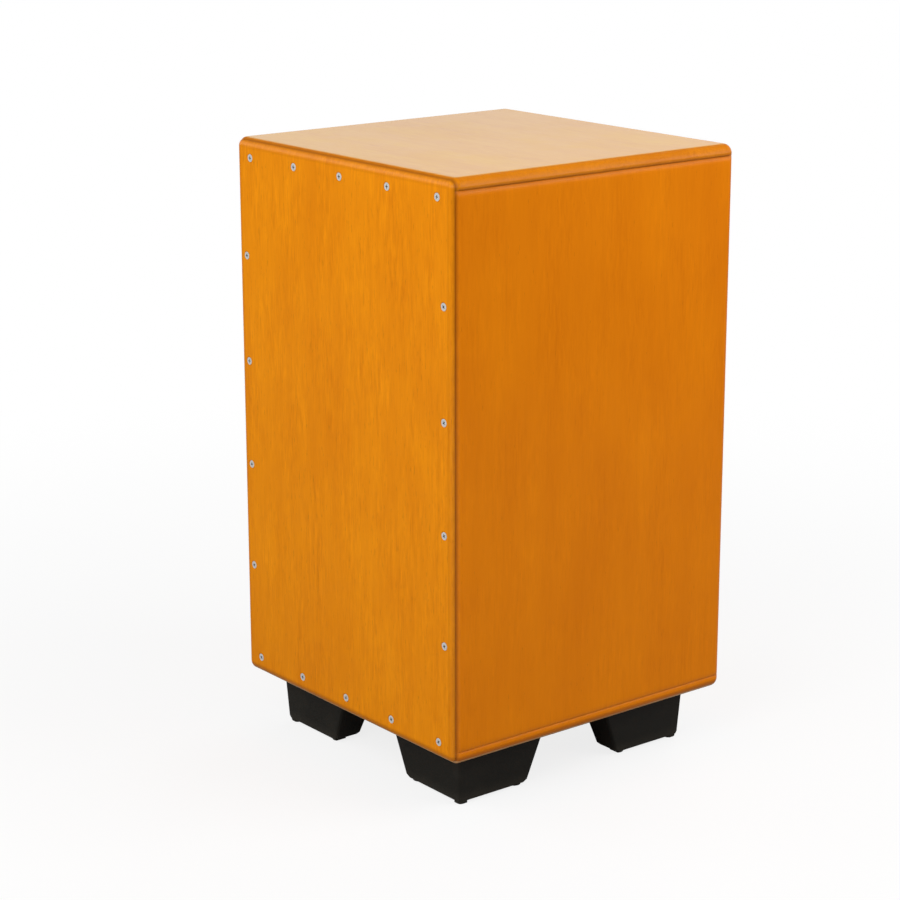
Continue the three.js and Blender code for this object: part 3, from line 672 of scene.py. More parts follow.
@dataclass(frozen=True)
class LacqueredWood:
    """A stained board under clear lacquer, bare wood on its inner side.

    Dark and light are the stain's ends. The stain reaches as deep as shell below the box's faces,
    and the board's own face lies as deep as sunk. Gloss is the coat's weight on the flat faces,
    rim_gloss the one on the rounded rims. Worn is the paler colour of a face that is sat on. A line
    marks the rim's end, a band of painted shade of a given fade runs round the foot at
    shade_band_height, and below rubbed_height the stain is rubbed off.
    """

    name: str
    slot: str
    dark: Colour
    light: Colour
    grain: Grain = Grain.UPRIGHT
    figure: float = 1.0
    fine_share: float = 1.0
    pore_share: float = 0.5
    sunk: float = 0.0
    shell: float = 4.5 * MM
    gloss: float = 0.12
    rim_gloss: float = 0.5
    coat_roughness: float = 0.12
    roughness: float = 0.42
    specular: float = 0.06
    worn: Colour | None = None
    board_joints: bool = True
    shaded_and_rubbed_foot: bool = False
    edge_line: bool = False
    plies: bool = False
    rim_end: float = 7.4 * MM
    shade_band_height: float = 5.4 * MM
    fade: float = 2.8 * MM
    rubbed_height: float = 4.2 * MM
    rubbed: Colour = (0.78, 0.46, 0.19)
    bare_dark: Colour = (0.52, 0.30, 0.13)
    bare_light: Colour = (0.76, 0.50, 0.26)
    glue: Colour = (0.13, 0.065, 0.03)

    def draw(self, paint: Paint) -> None:
        """Draws the finish.

        Args:
            paint: The new material.
        """
        wood = paint.pattern(
            Pattern.WOOD, Vector=paint.along(self.grain), Figure=self.figure,
            Fine_Share=self.fine_share, Pore_Share=self.pore_share,
        )
        depth = paint.pattern(Pattern.DEPTH)
        marks = paint.pattern(Pattern.HANDLING)
        stain = self._worn_and_shaded_stain(paint, wood, depth, marks)
        bare = paint.blend(wood["Tone"], self.bare_dark, self.bare_light)
        if self.plies:
            layers = paint.pattern(Pattern.LAYERS, Level=depth["From Back"])
            bare = paint.blend(paint.times(layers["Ply"], 0.5), bare, self.bare_dark)
            bare = paint.blend(paint.times(layers["Glue"], 0.6), bare, self.glue)
        edge = 0.1 * MM
        inside = paint.ramp(depth["Depth"], self.shell - edge, self.shell + edge)
        rough = paint.between(marks["Haze"], self.roughness, self.roughness + 0.09)
        rim = paint.ramp(depth["Depth"], self.sunk + 0.05 * MM, self.sunk + 0.5 * MM)
        coat = paint.between(rim, self.gloss, self.rim_gloss)
        paint.shade(
            paint.math("MULTIPLY_ADD", marks["Ripple"], 0.55, wood["Height"]), 0.16, 0.6 * MM,
            Base_Color=paint.blend(inside, stain, bare), Coat_Roughness=self.coat_roughness,
            Roughness=paint.between(inside, rough, 0.8), Specular_IOR_Level=self.specular,
            Coat_Weight=paint.between(inside, coat, 0.0), Coat_IOR=1.5,
        )

    def _worn_and_shaded_stain(self, paint: Paint, wood: Sockets, depth: Sockets, marks: Sockets) -> Socket:
        """The stain with what has gathered in the joints, what use has thinned and painted shade
        round the foot.

        Args:
            paint: The material.
            wood: The grain.
            depth: The depth below the box's faces and the nearness of the joints.
            marks: The marks of use.

        Returns:
            The stain's colour.
        """
        deep = darker(self.dark, 0.62)
        stain = paint.blend(wood["Tone"], self.dark, self.light)
        stain = paint.blend(paint.times(wood["Pores"], 0.4), stain, deep)
        gathered = paint.most(
            paint.times(depth["Plate Joint"], 0.62), paint.times(depth["Panel Joint"], 0.7)
        )
        if self.board_joints:
            gathered = paint.most(gathered, paint.times(depth["Board Joint"], 0.36))
        stain = paint.blend(gathered, stain, darker(self.dark, 0.40))
        if self.worn:
            flat = paint.ramp(depth["From Top"], 0.05 * MM, 0.5 * MM, 1.0, 0.0)
            thin = paint.math("MULTIPLY_ADD", marks["Haze"], 0.12, 0.44)
            thin = paint.math("MULTIPLY_ADD", wood["Tone"], 0.46, thin)
            stain = paint.blend(paint.times(flat, paint.least(thin, 1.0)), stain, self.worn)
        if self.edge_line:
            # The soft darker line where the rounded rim of the plate ends
            ends = paint.least(depth["From Top"], depth["From Bottom"])
            off = paint.off(paint.least(depth["From Side"], ends), self.rim_end)
            line = paint.ramp(off, 0.4 * MM, 2.1 * MM, 0.20, 0.0)
            front = paint.ramp(depth["From Front"], 0.4 * MM, 1.2 * MM, 1.0, 0.0)
            stain = paint.blend(paint.times(line, front), stain, deep)
        if self.shaded_and_rubbed_foot:
            # A band of painted shade round the lower rounding, and paler stain rubbed off at its
            # lowest edge
            low = depth["From Bottom"]
            band = paint.ramp(paint.off(low, self.shade_band_height), 0.8 * MM, self.fade, 0.45, 0.0)
            stain = paint.blend(band, stain, deep)
            pale = paint.times(
                paint.ramp(low, self.fade, self.rubbed_height, 0.95, 0.0),
                paint.ramp(low, 0.2 * MM, 0.6 * MM),
            )
            pale = paint.times(pale, paint.math("MULTIPLY_ADD", marks["Haze"], -0.35, 1.0))
            stain = paint.blend(pale, stain, self.rubbed)
        return stain


@dataclass(frozen=True)
class BareWood:
    """Planed unlacquered wood."""

    name: str
    slot: str
    dark: Colour
    light: Colour
    grain: Grain = Grain.ACROSS
    roughness: float = 0.7
    figure: float = 1.1

    def draw(self, paint: Paint) -> None:
        """Draws the finish.

        Args:
            paint: The new material.
        """
        wood = paint.pattern(
            Pattern.WOOD, Vector=paint.along(self.grain), Figure=self.figure, Pore_Share=0.4
        )
        marks = paint.pattern(Pattern.HANDLING, Scale=2.0)
        colour = paint.blend(wood["Tone"], self.dark, self.light)
        pores = paint.times(wood["Pores"], 0.45)
        paint.shade(
            wood["Height"], 0.35, 0.5 * MM, Specular_IOR_Level=0.3,
            Base_Color=paint.blend(pores, colour, darker(self.dark, 0.6)),
            Roughness=paint.between(marks["Haze"], self.roughness, self.roughness + 0.12),
        )


@dataclass(frozen=True)
class MouldedRubber:
    """Black moulded rubber with a fine skin and a little dust low down."""

    name: str
    slot: str
    colour: Colour
    dusty: Colour

    def draw(self, paint: Paint) -> None:
        """Draws the finish.

        Args:
            paint: The new material.
        """
        skin = paint.pattern(Pattern.MOULDED)
        height = paint.add("ShaderNodeSeparateXYZ", Vector=paint.place).outputs[2]
        low = paint.ramp(height, 0.0, 14 * MM, 0.5, 0.0)
        share = paint.math("MULTIPLY_ADD", skin["Bloom"], 0.35, low)
        paint.shade(
            skin["Skin"], 0.5, 0.4 * MM, Base_Color=paint.blend(share, self.colour, self.dusty),
            Roughness=paint.between(skin["Bloom"], 0.56, 0.74), Specular_IOR_Level=0.22,
        )


@dataclass(frozen=True)
class PlatedMetal:
    """Plated or drawn metal with dull patches, from smooth to rough."""

    name: str
    slot: str
    colour: Colour
    dull: Colour
    smooth: float
    rough: float
    metallic: float = 1.0
    lines: float = 0.2

    def draw(self, paint: Paint) -> None:
        """Draws the finish.

        Args:
            paint: The new material.
        """
        marks = paint.pattern(Pattern.METAL)
        paint.shade(
            marks["Lines"], self.lines, 0.1 * MM, Metallic=self.metallic,
            Base_Color=paint.blend(paint.times(marks["Patches"], 0.6), self.colour, self.dull),
            Roughness=paint.between(marks["Patches"], self.smooth, self.rough),
        )


class Finish(Enum):
    """The finishes of the cajon."""

    PLATE = LacqueredWood(
        "amber_plate", "tapa_lacquer", (0.68, 0.188, 0.001), (0.90, 0.308, 0.003), figure=0.62,
        pore_share=0.45, shell=2.9 * MM, board_joints=False, shaded_and_rubbed_foot=True, edge_line=True,
    )
    SIDE = LacqueredWood(
        "amber_side", "case_lacquer", (0.68, 0.170, 0.001), (0.84, 0.242, 0.002), figure=0.8,
        fine_share=0.5, pore_share=0.1,
    )
    # The seat's darker stain is partly painted shade: it stands for less light on the top than the
    # lamps give
    SEAT = LacqueredWood(
        "amber_seat", "seat_lacquer", (0.58, 0.158, 0.001), (0.74, 0.235, 0.002), Grain.ACROSS,
        figure=0.8, fine_share=0.7, pore_share=0.2, gloss=0.64, rim_gloss=0.4,
        coat_roughness=0.17, roughness=0.40, specular=0.05, worn=(0.78, 0.415, 0.030),
    )
    BASE = LacqueredWood(
        "amber_base", "case_lacquer", (0.66, 0.165, 0.001), (0.84, 0.245, 0.003), Grain.ACROSS,
        figure=0.55, fine_share=0.7, pore_share=0.2, shaded_and_rubbed_foot=True,
    )
    BACK = LacqueredWood(
        "amber_back", "back_lacquer", (0.66, 0.175, 0.001), (0.88, 0.285, 0.004), figure=0.62,
        pore_share=0.45, sunk=1.5 * MM, shell=2.0 * MM, board_joints=False, plies=True,
    )
    BATTEN = BareWood(
        "planed_batten", "raw_wood", (0.50, 0.31, 0.14), (0.72, 0.50, 0.27), Grain.UPRIGHT
    )
    RAIL = BareWood("planed_rail", "raw_wood", (0.50, 0.31, 0.14), (0.72, 0.50, 0.27))
    BAR = BareWood(
        "oiled_bar", "bar_wood", (0.30, 0.155, 0.06), (0.52, 0.30, 0.13), roughness=0.5
    )
    RUBBER = MouldedRubber(
        "moulded_rubber", "foot_rubber", (0.0124, 0.0112, 0.0086), (0.043, 0.037, 0.028)
    )
    SCREW = PlatedMetal(
        "bright_zinc", "screw_steel", (0.88, 0.89, 0.88), (0.70, 0.71, 0.71), 0.30, 0.45,
        metallic=0.48, lines=0.1,
    )
    # Painted shade: the near-black colour stands for the shade inside the driver's cross
    RECESS = PlatedMetal(
        "shaded_recess", "screw_steel", (0.075, 0.070, 0.085), (0.045, 0.042, 0.05), 0.5, 0.7,
        metallic=0.5,
    )
    BRACKET = PlatedMetal(
        "sheet_zinc", "bracket_steel", (0.62, 0.63, 0.64), (0.45, 0.46, 0.47), 0.32, 0.55,
        lines=0.35,
    )
    BRASS = PlatedMetal(
        "turned_brass", "insert_brass", (0.72, 0.50, 0.19), (0.50, 0.34, 0.13), 0.25, 0.42
    )
    WIRE = PlatedMetal(
        "spring_wire", "snare_steel", (0.70, 0.71, 0.72), (0.50, 0.51, 0.52), 0.18, 0.34,
        lines=0.05,
    )


def make_materials() -> dict[Finish, bpy.types.Material]:
    """Makes the patterns and the materials.

    Returns:
        The material of each finish.
    """
    book = PatternBook()
    made = {}
    for finish in Finish:
        paint = Paint(finish.value.name, book)
        finish.value.draw(paint)
        made[finish] = paint.material
    return made


# Sub-assemblies


@dataclass
class Assembly:
    """What all sub-assemblies share: the materials, and how a mesh becomes a piece."""

    materials: dict[Finish, bpy.types.Material]

    def show(
        self, bm: Mesh, name: str, node: str, finish: Finish, body: Body = Body.CASE,
        sharp: float = 38.0, second: Finish | None = None,
    ) -> None:
        """Turns a mesh into a piece of the scene.

        Args:
            bm: The finished mesh, in its place at rest. It is freed.
            name: The piece's own name.
            node: The CAD node that it stands for.
            finish: Its finish.
            body: The body that it rides on.
            sharp: Edges over this angle in degrees stay sharp.
            second: The finish of the faces with material index 1, if there are any.
        """
        bmesh.ops.recalc_face_normals(bm, faces=bm.faces)
        mesh = settle(name, bm)
        for used in (finish, second):
            if used:
                mesh.materials.append(self.materials[used])
        mesh.shade_smooth()
        mesh.set_sharp_from_angle(angle=math.radians(sharp))
        piece = link(name, mesh)
        piece.modifiers.new("flat_faces_lead", "WEIGHTED_NORMAL").keep_sharp = True
        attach(piece, body.value)
        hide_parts(node)
        log.info("%s: %d faces, rides on %s", name, len(mesh.polygons), body.value)


@dataclass
class Case(Assembly):
    """The box: playing plate, seat board, base board, sides and back.

    All boards but the back are parted from one block whose outer edges are all rounded.
    """

    width: float = 300 * MM
    depth: float = 300 * MM
    bottom: float = 49 * MM
    top: float = 530 * MM
    edge_radius: float = 8 * MM
    edge_steps: int = 10
    plate_thickness: float = 3 * MM
    seat_thickness: float = 10 * MM
    base_thickness: float = 11 * MM
    side_thickness: float = 9 * MM
    back_thickness: float = 4 * MM
    back_sink: float = 1.5 * MM
    glue_gap: float = 0.3 * MM
    shown_gap: float = 0.04 * MM
    overshoot: float = 20 * MM
    front: float = -depth / 2
    plate_back: float = front + plate_thickness
    case_front: float = plate_back + shown_gap
    seat_level: float = top - seat_thickness
    base_level: float = bottom + base_thickness
    # The soft fall of the outer faces towards the joints of seat and base
    shoulder_fall: float = 0.8 * MM
    lip_fall: float = 0.5 * MM
    side_shoulder: float = 6 * MM
    board_shoulder: float = 2.8 * MM
    base_strength: float = 0.6
    shoulder_shares: tuple[float, ...] = (0.04, 0.09, 0.16, 0.26, 0.4, 0.58, 0.78, 1.0)
    skin: float = 0.4 * MM
    slack: float = 1e-4
    corner_start: float = 0.72
    corner_span: float = 0.27
    corner_least: float = 0.15
    # The groove behind the plate, and the plate's seats for the screws
    plate_groove: float = 2.6 * MM
    screw_bore: float = 1.8 * MM
    seat_room: float = 0.3 * MM
    seat_floor: float = 2.2 * MM
    seat_wall: float = 0.5 * MM
    seat_chamfer: float = 0.25 * MM
    seat_reach: float = 5 * MM
    seat_steps: int = 32
    # The rebate of the back, and its sound hole
    rebate: float = 5 * MM
    corner: float = 3 * MM
    corner_steps: int = 6
    back_edge: float = 0.4 * MM
    hole_radius: float = 60 * MM
    hole_height: float = 380 * MM
    hole_lip: float = 1.5 * MM
    lip_steps: int = 6
    hole_ends: tuple[float, float] = (-8 * MM, 3 * MM)
    hole_steps: int = 128

    def build(self) -> None:
        """Makes and finishes every board of the case."""
        self._plate()
        shell = self._block()
        keep_side(shell, (0, self.case_front, 0), (0, -1, 0))
        flank = self._flank(self.case_front, self.depth + self.overshoot)
        shell = carve(carve(shell, flank, Cut.SHARED), self._rebate_cutter())
        seat = self._board(shell.copy(), self.seat_level, 1, 1.0)
        self.show(seat, "seat_board", "top_board", Finish.SEAT)
        base = self._board(shell.copy(), self.base_level, -1, self.base_strength)
        self.show(base, "base_board", "bottom_board", Finish.BASE)
        for hand in Hand:
            self._side(shell.copy(), hand)
        shell.free()
        self._back()

    def _block(self) -> Mesh:
        """Makes the whole box as one block with rounded edges.

        Returns:
            A new mesh.
        """
        half = Vector((self.width / 2, self.depth / 2))
        bm = cube((-half.x, -half.y, self.bottom), (half.x, half.y, self.top))
        round_edges(bm, bm.edges, self.edge_radius, self.edge_steps)
        return bm

    def _flank(self, level: float, reach: float) -> Mesh:
        """Makes a form that widens by 45 degrees from the groove's floor, for one of its walls.

        Args:
            level: The groove's floor along Y.
            reach: How far the form goes along Y, negative towards the front.

        Returns:
            The form, with rounded corners.
        """
        corner = self.edge_radius - self.plate_groove
        half = self.width / 2 - self.plate_groove
        low, high = self.bottom + self.plate_groove, self.top - self.plate_groove
        nearest, furthest = sorted((level, level + reach))
        bm = cube((-half, nearest, low), (half, furthest, high))
        round_edges(bm, edges_along_y(bm), corner, self.edge_steps)
        for vert in (v for v in bm.verts if abs(v.co.y - level) > MM):
            x = math.copysign(half - corner, vert.co.x)
            z = high - corner if vert.co.z > (low + high) / 2 else low + corner
            vert.co += (vert.co - Vector((x, vert.co.y, z))) * (abs(reach) / corner)
        return bm

    def _rebate_cutter(self) -> Mesh:
        """Makes the form of the recess at the rear that takes the back.

        Returns:
            The form.
        """
        half = self.width / 2 - self.side_thickness + self.rebate
        floor = self.depth / 2 - self.back_sink - self.back_thickness - self.glue_gap
        bm = cube((-half, floor, self.base_level - self.rebate),
                  (half, self.depth / 2 + self.rebate, self.seat_level + self.rebate))
        round_edges(bm, edges_along_y(bm), self.corner, self.corner_steps)
        return bm

    def _plate(self) -> None:
        """The playing plate, countersunk for its screws."""
        bm = self._block()
        keep_side(bm, (0, self.plate_back, 0), (0, 1, 0))
        bm = carve(bm, self._flank(self.plate_back, -self.overshoot), Cut.SHARED)
        seats = bmesh.new()
        for node in sorted(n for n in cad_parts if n.startswith("tapa_screw")):
            low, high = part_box(node)
            merge(seats, self._countersink((low + high) / 2, high.x - low.x))
        self.show(carve(bm, seats), "playing_plate", "tapa", Finish.PLATE)

    def _countersink(self, centre: Vector, head: float) -> Mesh:
        """Makes the form of a screw's cone-shaped seat.

        Args:
            centre: The middle of the screw.
            head: The head's diameter.

        Returns:
            The form that is taken out of the plate.
        """
        mouth, bore = head / 2 + self.seat_room, self.screw_bore
        rim = mouth + self.seat_chamfer
        form = revolve(
            [(0, -self.seat_reach), (bore, -self.seat_reach), (bore, -self.seat_floor),
             (mouth, -self.seat_wall), (rim, 0), (rim, MM), (0, MM)], self.seat_steps
        )
        move(form, Matrix.Translation((centre.x, self.front, centre.z)) @ turned(90))
        return form

    def _dish(self, bm: Mesh, level: float, reach: float, strength: float) -> None:
        """Lets the outer face fall away softly towards a joint, with a rounded lip at it.

        Args:
            bm: The board.
            level: The joint's height.
            reach: How far the fall goes from the joint, negative downwards.
            strength: How deep the fall is, as a share of the full one.
        """
        for share in self.shoulder_shares:
            cut_level(bm, (0, 0, level + reach * share), (0, 0, 1), clear=False)
        x, y = self.width / 2 - self.edge_radius, self.depth / 2 - self.edge_radius
        for vert in bm.verts:
            share = (vert.co.z - level) / reach
            core = Vector((max(-x, min(x, vert.co.x)), max(-y, min(y, vert.co.y)), vert.co.z))
            outward = vert.co - core
            if -self.slack < share < 1 and outward.length > self.edge_radius - self.skin:
                fall = self.shoulder_fall * (1 - share) ** 2 + self.lip_fall * (1 - share) ** 5
                way = outward.normalized()
                square = (max(abs(way.x), abs(way.y)) - self.corner_start) / self.corner_span
                vert.co -= way * fall * strength * max(self.corner_least, min(1.0, square))

    def _board(self, bm: Mesh, level: float, outward: int, strength: float) -> Mesh:
        """Parts the seat or the base from the shell.

        Args:
            bm: The shell. It becomes the board.
            level: The height of the board's joint.
            outward: 1 if the board lies above its joint, and -1 if below.
            strength: How deep the fall of its outer faces is, as a share of the full one.

        Returns:
            The board.
        """
        keep_side(bm, (0, 0, level), (0, 0, -outward))
        self._dish(bm, level, outward * self.board_shoulder, strength)
        return bm

    def _side(self, bm: Mesh, hand: Hand) -> None:
        """Makes one side panel.

        Args:
            bm: The shell behind the plate. It is used up.
            hand: Which side.
        """
        inner = hand.value * (self.width / 2 - self.side_thickness)
        low, high = self.base_level + self.shown_gap, self.seat_level - self.shown_gap
        keep_side(bm, (inner, 0, 0), (-hand.value, 0, 0))
        keep_side(bm, (0, 0, low), (0, 0, -1))
        keep_side(bm, (0, 0, high), (0, 0, 1))
        self._dish(bm, low, self.side_shoulder, self.base_strength)
        self._dish(bm, high, -self.side_shoulder, 1.0)
        self.show(bm, f"{hand.word}_side_board", f"{hand.word}_side_panel", Finish.SIDE)

    def _back(self) -> None:
        """The back with its rounded sound hole."""
        low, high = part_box("back_panel")
        bm = cube(low, high)
        round_edges(bm, edges_along_y(bm), self.corner, self.corner_steps)
        round_edges(bm, [e for e in bm.edges if lies_across(e, high.y)], self.back_edge)
        lip, radius, (inner, outer) = self.hole_lip, self.hole_radius, self.hole_ends
        angles = [k / self.lip_steps * math.pi / 2 for k in range(self.lip_steps + 1)]
        arc = [(radius + lip * (1 - math.cos(t)), -lip * (1 - math.sin(t))) for t in angles]
        form = revolve([(0, inner), (radius, inner), *arc, (radius + lip, outer), (0, outer)],
                       self.hole_steps)
        move(form, Matrix.Translation((0, high.y, self.hole_height)) @ turned(-90))
        self.show(carve(bm, form), "back_board", "back_panel", Finish.BACK)


@dataclass
class Battens(Assembly):
    """The strips of bare wood that the playing plate is screwed to."""

    edge: float = 0.4 * MM

    def build(self) -> None:
        """Makes and finishes the four strips."""
        for word in ("top", "bottom", "left", "right"):
            node = f"front_{word}_batten"
            finish = Finish.RAIL if word in ("top", "bottom") else Finish.BATTEN
            bm = cad_copy(node, angle=80, width=self.edge, steps=1)
            self.show(bm, f"{word}_strip", node, finish)


@dataclass
class Screws(Assembly):
    """Every screw of the object.

    The countersunk ones get a driver's recess and follow two outlines, given as shares of the
    head's radius and as heights from the tip and from the head's face.
    """

    tip: tuple[tuple[float, float], ...] = ((0.0, 0.0), (0.161, 1 * MM), (0.46, 3 * MM))
    head: tuple[tuple[float, float], ...] = (
        (0.46, -2 * MM), (0.93, -0.35 * MM), (1.0, -0.15 * MM), (1.0, -0.1 * MM), (0.95, 0.0),
        (0.0, 0.0),
    )
    steps: int = 32
    recess_span: float = 3.9 * MM
    recess_width: float = 0.95 * MM
    recess_depth: float = 1.35 * MM
    recess_taper: float = 0.5
    pan_edge: float = 0.18 * MM
    turn_rates: tuple[float, float, float] = (7310.0, 2710.0, 4190.0)

    def build(self) -> None:
        """Makes and finishes all screws."""
        for node in sorted(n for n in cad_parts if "screw" in n):
            if node.startswith("fan") or "foot_screw" in node:
                body = Body.SNARE_HOLDER if node.startswith("fan") else Body.CASE
                bm = cad_copy(node, angle=50, width=self.pan_edge)
                self.show(bm, f"{node}_dressed", node, Finish.SCREW, body, sharp=50)
            else:
                self._countersunk(node)

    def _countersunk(self, node: str) -> None:
        """Replaces a countersunk screw.

        Args:
            node: The CAD node.
        """
        low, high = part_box(node)
        size, centre = high - low, (low + high) / 2
        upright = size.z > size.y
        radius, length = size.x / 2, size.z if upright else size.y
        outline = [(radius * share, height - length) for share, height in self.tip]
        outline += [(radius * share, height) for share, height in self.head]
        bm = carve(revolve(outline, self.steps), self._recess())
        # Faces deep in the driver's recess take the dark finish, as painted shade
        for face in bm.faces:
            middle = face.calc_center_median()
            deep = -1.1 * self.recess_depth < middle.z < -0.02 * MM
            face.material_index = int(deep and middle.xy.length < self.recess_span / 2)
        face_place = (centre.x, centre.y, low.z) if upright else (centre.x, low.y, centre.z)
        total = sum(c * rate for c, rate in zip(centre, self.turn_rates))
        spin = Matrix.Rotation(math.fmod(abs(total), math.pi / 2), 4, "Z")
        move(bm, Matrix.Translation(face_place) @ turned(180 if upright else 90) @ spin)
        self.show(bm, f"{node}_dressed", node, Finish.SCREW, second=Finish.RECESS)

    def _recess(self) -> Mesh:
        """Makes the cross of a driver's recess, tapering downwards.

        Returns:
            The form that is taken out of the head.
        """
        half = self.recess_width / 2
        cross = cube((-half, -half, -self.recess_depth), (half, half, MM))
        sides = [f for f in cross.faces if abs(f.normal.z) < 0.5]
        for face in bmesh.ops.extrude_discrete_faces(cross, faces=sides)["faces"]:
            out = face.normal * (self.recess_span / 2 - half)
            bmesh.ops.translate(cross, vec=out, verts=face.verts)
        for vert in (v for v in cross.verts if v.co.z < 0):
            vert.co.xy *= self.recess_taper
        return cross


@dataclass
class Feet(Assembly):
    """The four rubber corner feet."""

    corners: tuple[str, ...] = ("front_left", "front_right", "rear_right", "rear_left")
    edge: float = 0.9 * MM

    def build(self) -> None:
        """Makes and finishes the four feet."""
        for corner in self.corners:
            node = f"{corner}_foot"
            bm = cad_copy(node, angle=24, width=self.edge, steps=3)
            self.show(bm, f"{corner}_rubber_foot", node, Finish.RUBBER, sharp=50)


@dataclass
class SnareUnit(Assembly):
    """The snare bar, its brackets, inserts, wing bolts and wires.

    Lean is how far the wires lean forward at rest, in degrees. The places of strips, solder and
    wires are measured from the bar's axis, upwards and to the rear.
    """

    pivot: tuple[float, float, float] = (0.0, -100.752 * MM, 460 * MM)
    lean: float = 20.0
    fans: int = 3
    wires: int = 9
    coil_radius: float = 0.78 * MM
    wire_radius: float = 0.22 * MM
    wire_sides: int = 6
    coil_pitch: float = 1.25 * MM
    coil_steps: int = 8
    coil_top: float = -4 * MM
    coil_length: float = 95 * MM
    wire_turn: float = 0.7
    fan_width: float = 58 * MM
    fan_pitch: float = 66 * MM
    strip_margin: float = 3.4 * MM
    strip_low: float = -11 * MM
    strip_high: float = 5 * MM
    strip_corner: float = 2 * MM
    strip_front: float = -11.1 * MM
    strip_back: float = -10.3 * MM
    solder_low: float = -8.5 * MM
    solder_high: float = -5 * MM
    solder_front: float = -12.1 * MM
    solder_margin: float = 1.6 * MM
    solder_edge: float = 0.7 * MM
    wire_depth: float = -11.5 * MM

    def build(self) -> None:
        """Makes and finishes the whole unit."""
        holder = Body.SNARE_HOLDER
        self.show(cad_copy("snare_bar"), "hardwood_bar", "snare_bar", Finish.BAR, holder)
        for word in (hand.word for hand in Hand):
            node = f"{word}_snare_bracket"
            bm = cad_copy(node, angle=60, width=0.25 * MM)
            self.show(bm, f"{word}_bent_bracket", node, Finish.BRACKET)
            node = f"{word}_threaded_insert"
            self.show(cad_copy(node), f"{word}_brass_insert", node, Finish.BRASS, holder)
            node = f"{word}_wing_bolt"
            bm = cad_copy(node, angle=55, width=0.35 * MM)
            self.show(bm, f"{word}_wing_screw", node, Finish.SCREW, Body(node), sharp=50)
        coil = self._coil()
        for index in range(self.fans):
            self._fan(index, coil)
        coil.free()

    def _coil(self) -> Mesh:
        """Makes one spiral wire, running down from the bar's axis.

        Returns:
            A new mesh.
        """
        turns = round(self.coil_length / self.coil_pitch)
        steps = turns * self.coil_steps
        bm = bmesh.new()
        place = Matrix.Translation((self.coil_radius, 0, 0)) @ turned(90)
        ring = bmesh.ops.create_circle(
            bm, radius=self.wire_radius, segments=self.wire_sides, matrix=place
        )["verts"]
        bmesh.ops.spin(
            bm, geom=[*ring, *{e for v in ring for e in v.link_edges}], cent=(0, 0, 0),
            axis=(0, 0, 1), dvec=(0, 0, -self.coil_length / steps), angle=math.tau * turns,
            steps=steps, use_merge=False,
        )
        ends = [e for e in bm.edges if e.is_boundary]
        bmesh.ops.holes_fill(bm, edges=ends, sides=self.wire_sides)
        bmesh.ops.translate(bm, vec=(0, 0, self.coil_top), verts=bm.verts)
        bmesh.ops.recalc_face_normals(bm, faces=bm.faces)
        return bm

    def _fan(self, index: int, coil: Mesh) -> None:
        """Makes one fan: end strip, solder and spiral wires.

        Args:
            index: Which fan, from the left.
            coil: One spiral wire, which is copied.
        """
        half, front = self.fan_width / 2, self.strip_front
        bm = cube((-half, front, self.strip_low), (half, self.strip_back, self.strip_high))
        round_edges(bm, edges_along_y(bm), self.strip_corner, steps=4)
        span = half - self.strip_margin
        reach = span + self.solder_margin
        seam = cube((-reach, self.solder_front, self.solder_low), (reach, front, self.solder_high))
        shown = [e for e in seam.edges if not lies_across(e, front)]
        round_edges(seam, shown, self.solder_edge, steps=3)
        merge(bm, seam)
        for k in range(self.wires):
            x = (2 * k / (self.wires - 1) - 1) * span
            wire = coil.copy()
            turn = Matrix.Rotation(self.wire_turn * k, 4, "Z")
            move(wire, Matrix.Translation((x, self.wire_depth, 0)) @ turn)
            merge(bm, wire)
        middle = (index - (self.fans - 1) / 2) * self.fan_pitch
        holder = Matrix.Translation(self.pivot) @ turned(-self.lean)
        move(bm, holder @ Matrix.Translation((middle, 0, 0)))
        node = f"snare_fan_{index + 1}"
        self.show(bm, f"spiral_{node}", node, Finish.WIRE, Body.SNARE_HOLDER, sharp=60)


# The studio


def towards(azimuth: float, elevation: float) -> Vector:
    """The way from the middle to a point round it.

    Args:
        azimuth: Degrees from the front towards +X.
        elevation: Degrees above the horizon.

    Returns:
        A vector of length 1.
    """
    turn, rise = math.radians(azimuth), math.radians(elevation)
    flat = math.cos(rise)
    return Vector((math.sin(turn) * flat, -math.cos(turn) * flat, math.sin(rise)))


@dataclass(frozen=True)
class Lamp:
    """A soft square lamp that looks at the middle of the object, in degrees, metres and watts."""

    name: str
    azimuth: float
    elevation: float
    distance: float
    size: float
    power: float
    aim: float = 0.28

    def hang(self) -> None:
        """Adds the lamp, which doesn't show in reflections."""
        data = bpy.data.lights.new(self.name, "AREA")
        data.shape, data.size, data.energy = "SQUARE", self.size, self.power
        lamp = link(self.name, data)
        way = towards(self.azimuth, self.elevation)
        lamp.location = Vector((0, 0, self.aim)) + way * self.distance
        lamp.rotation_mode = "QUATERNION"
        lamp.rotation_quaternion = (-way).to_track_quat("-Z", "Y")
        lamp.visible_glossy = lamp.visible_camera = False


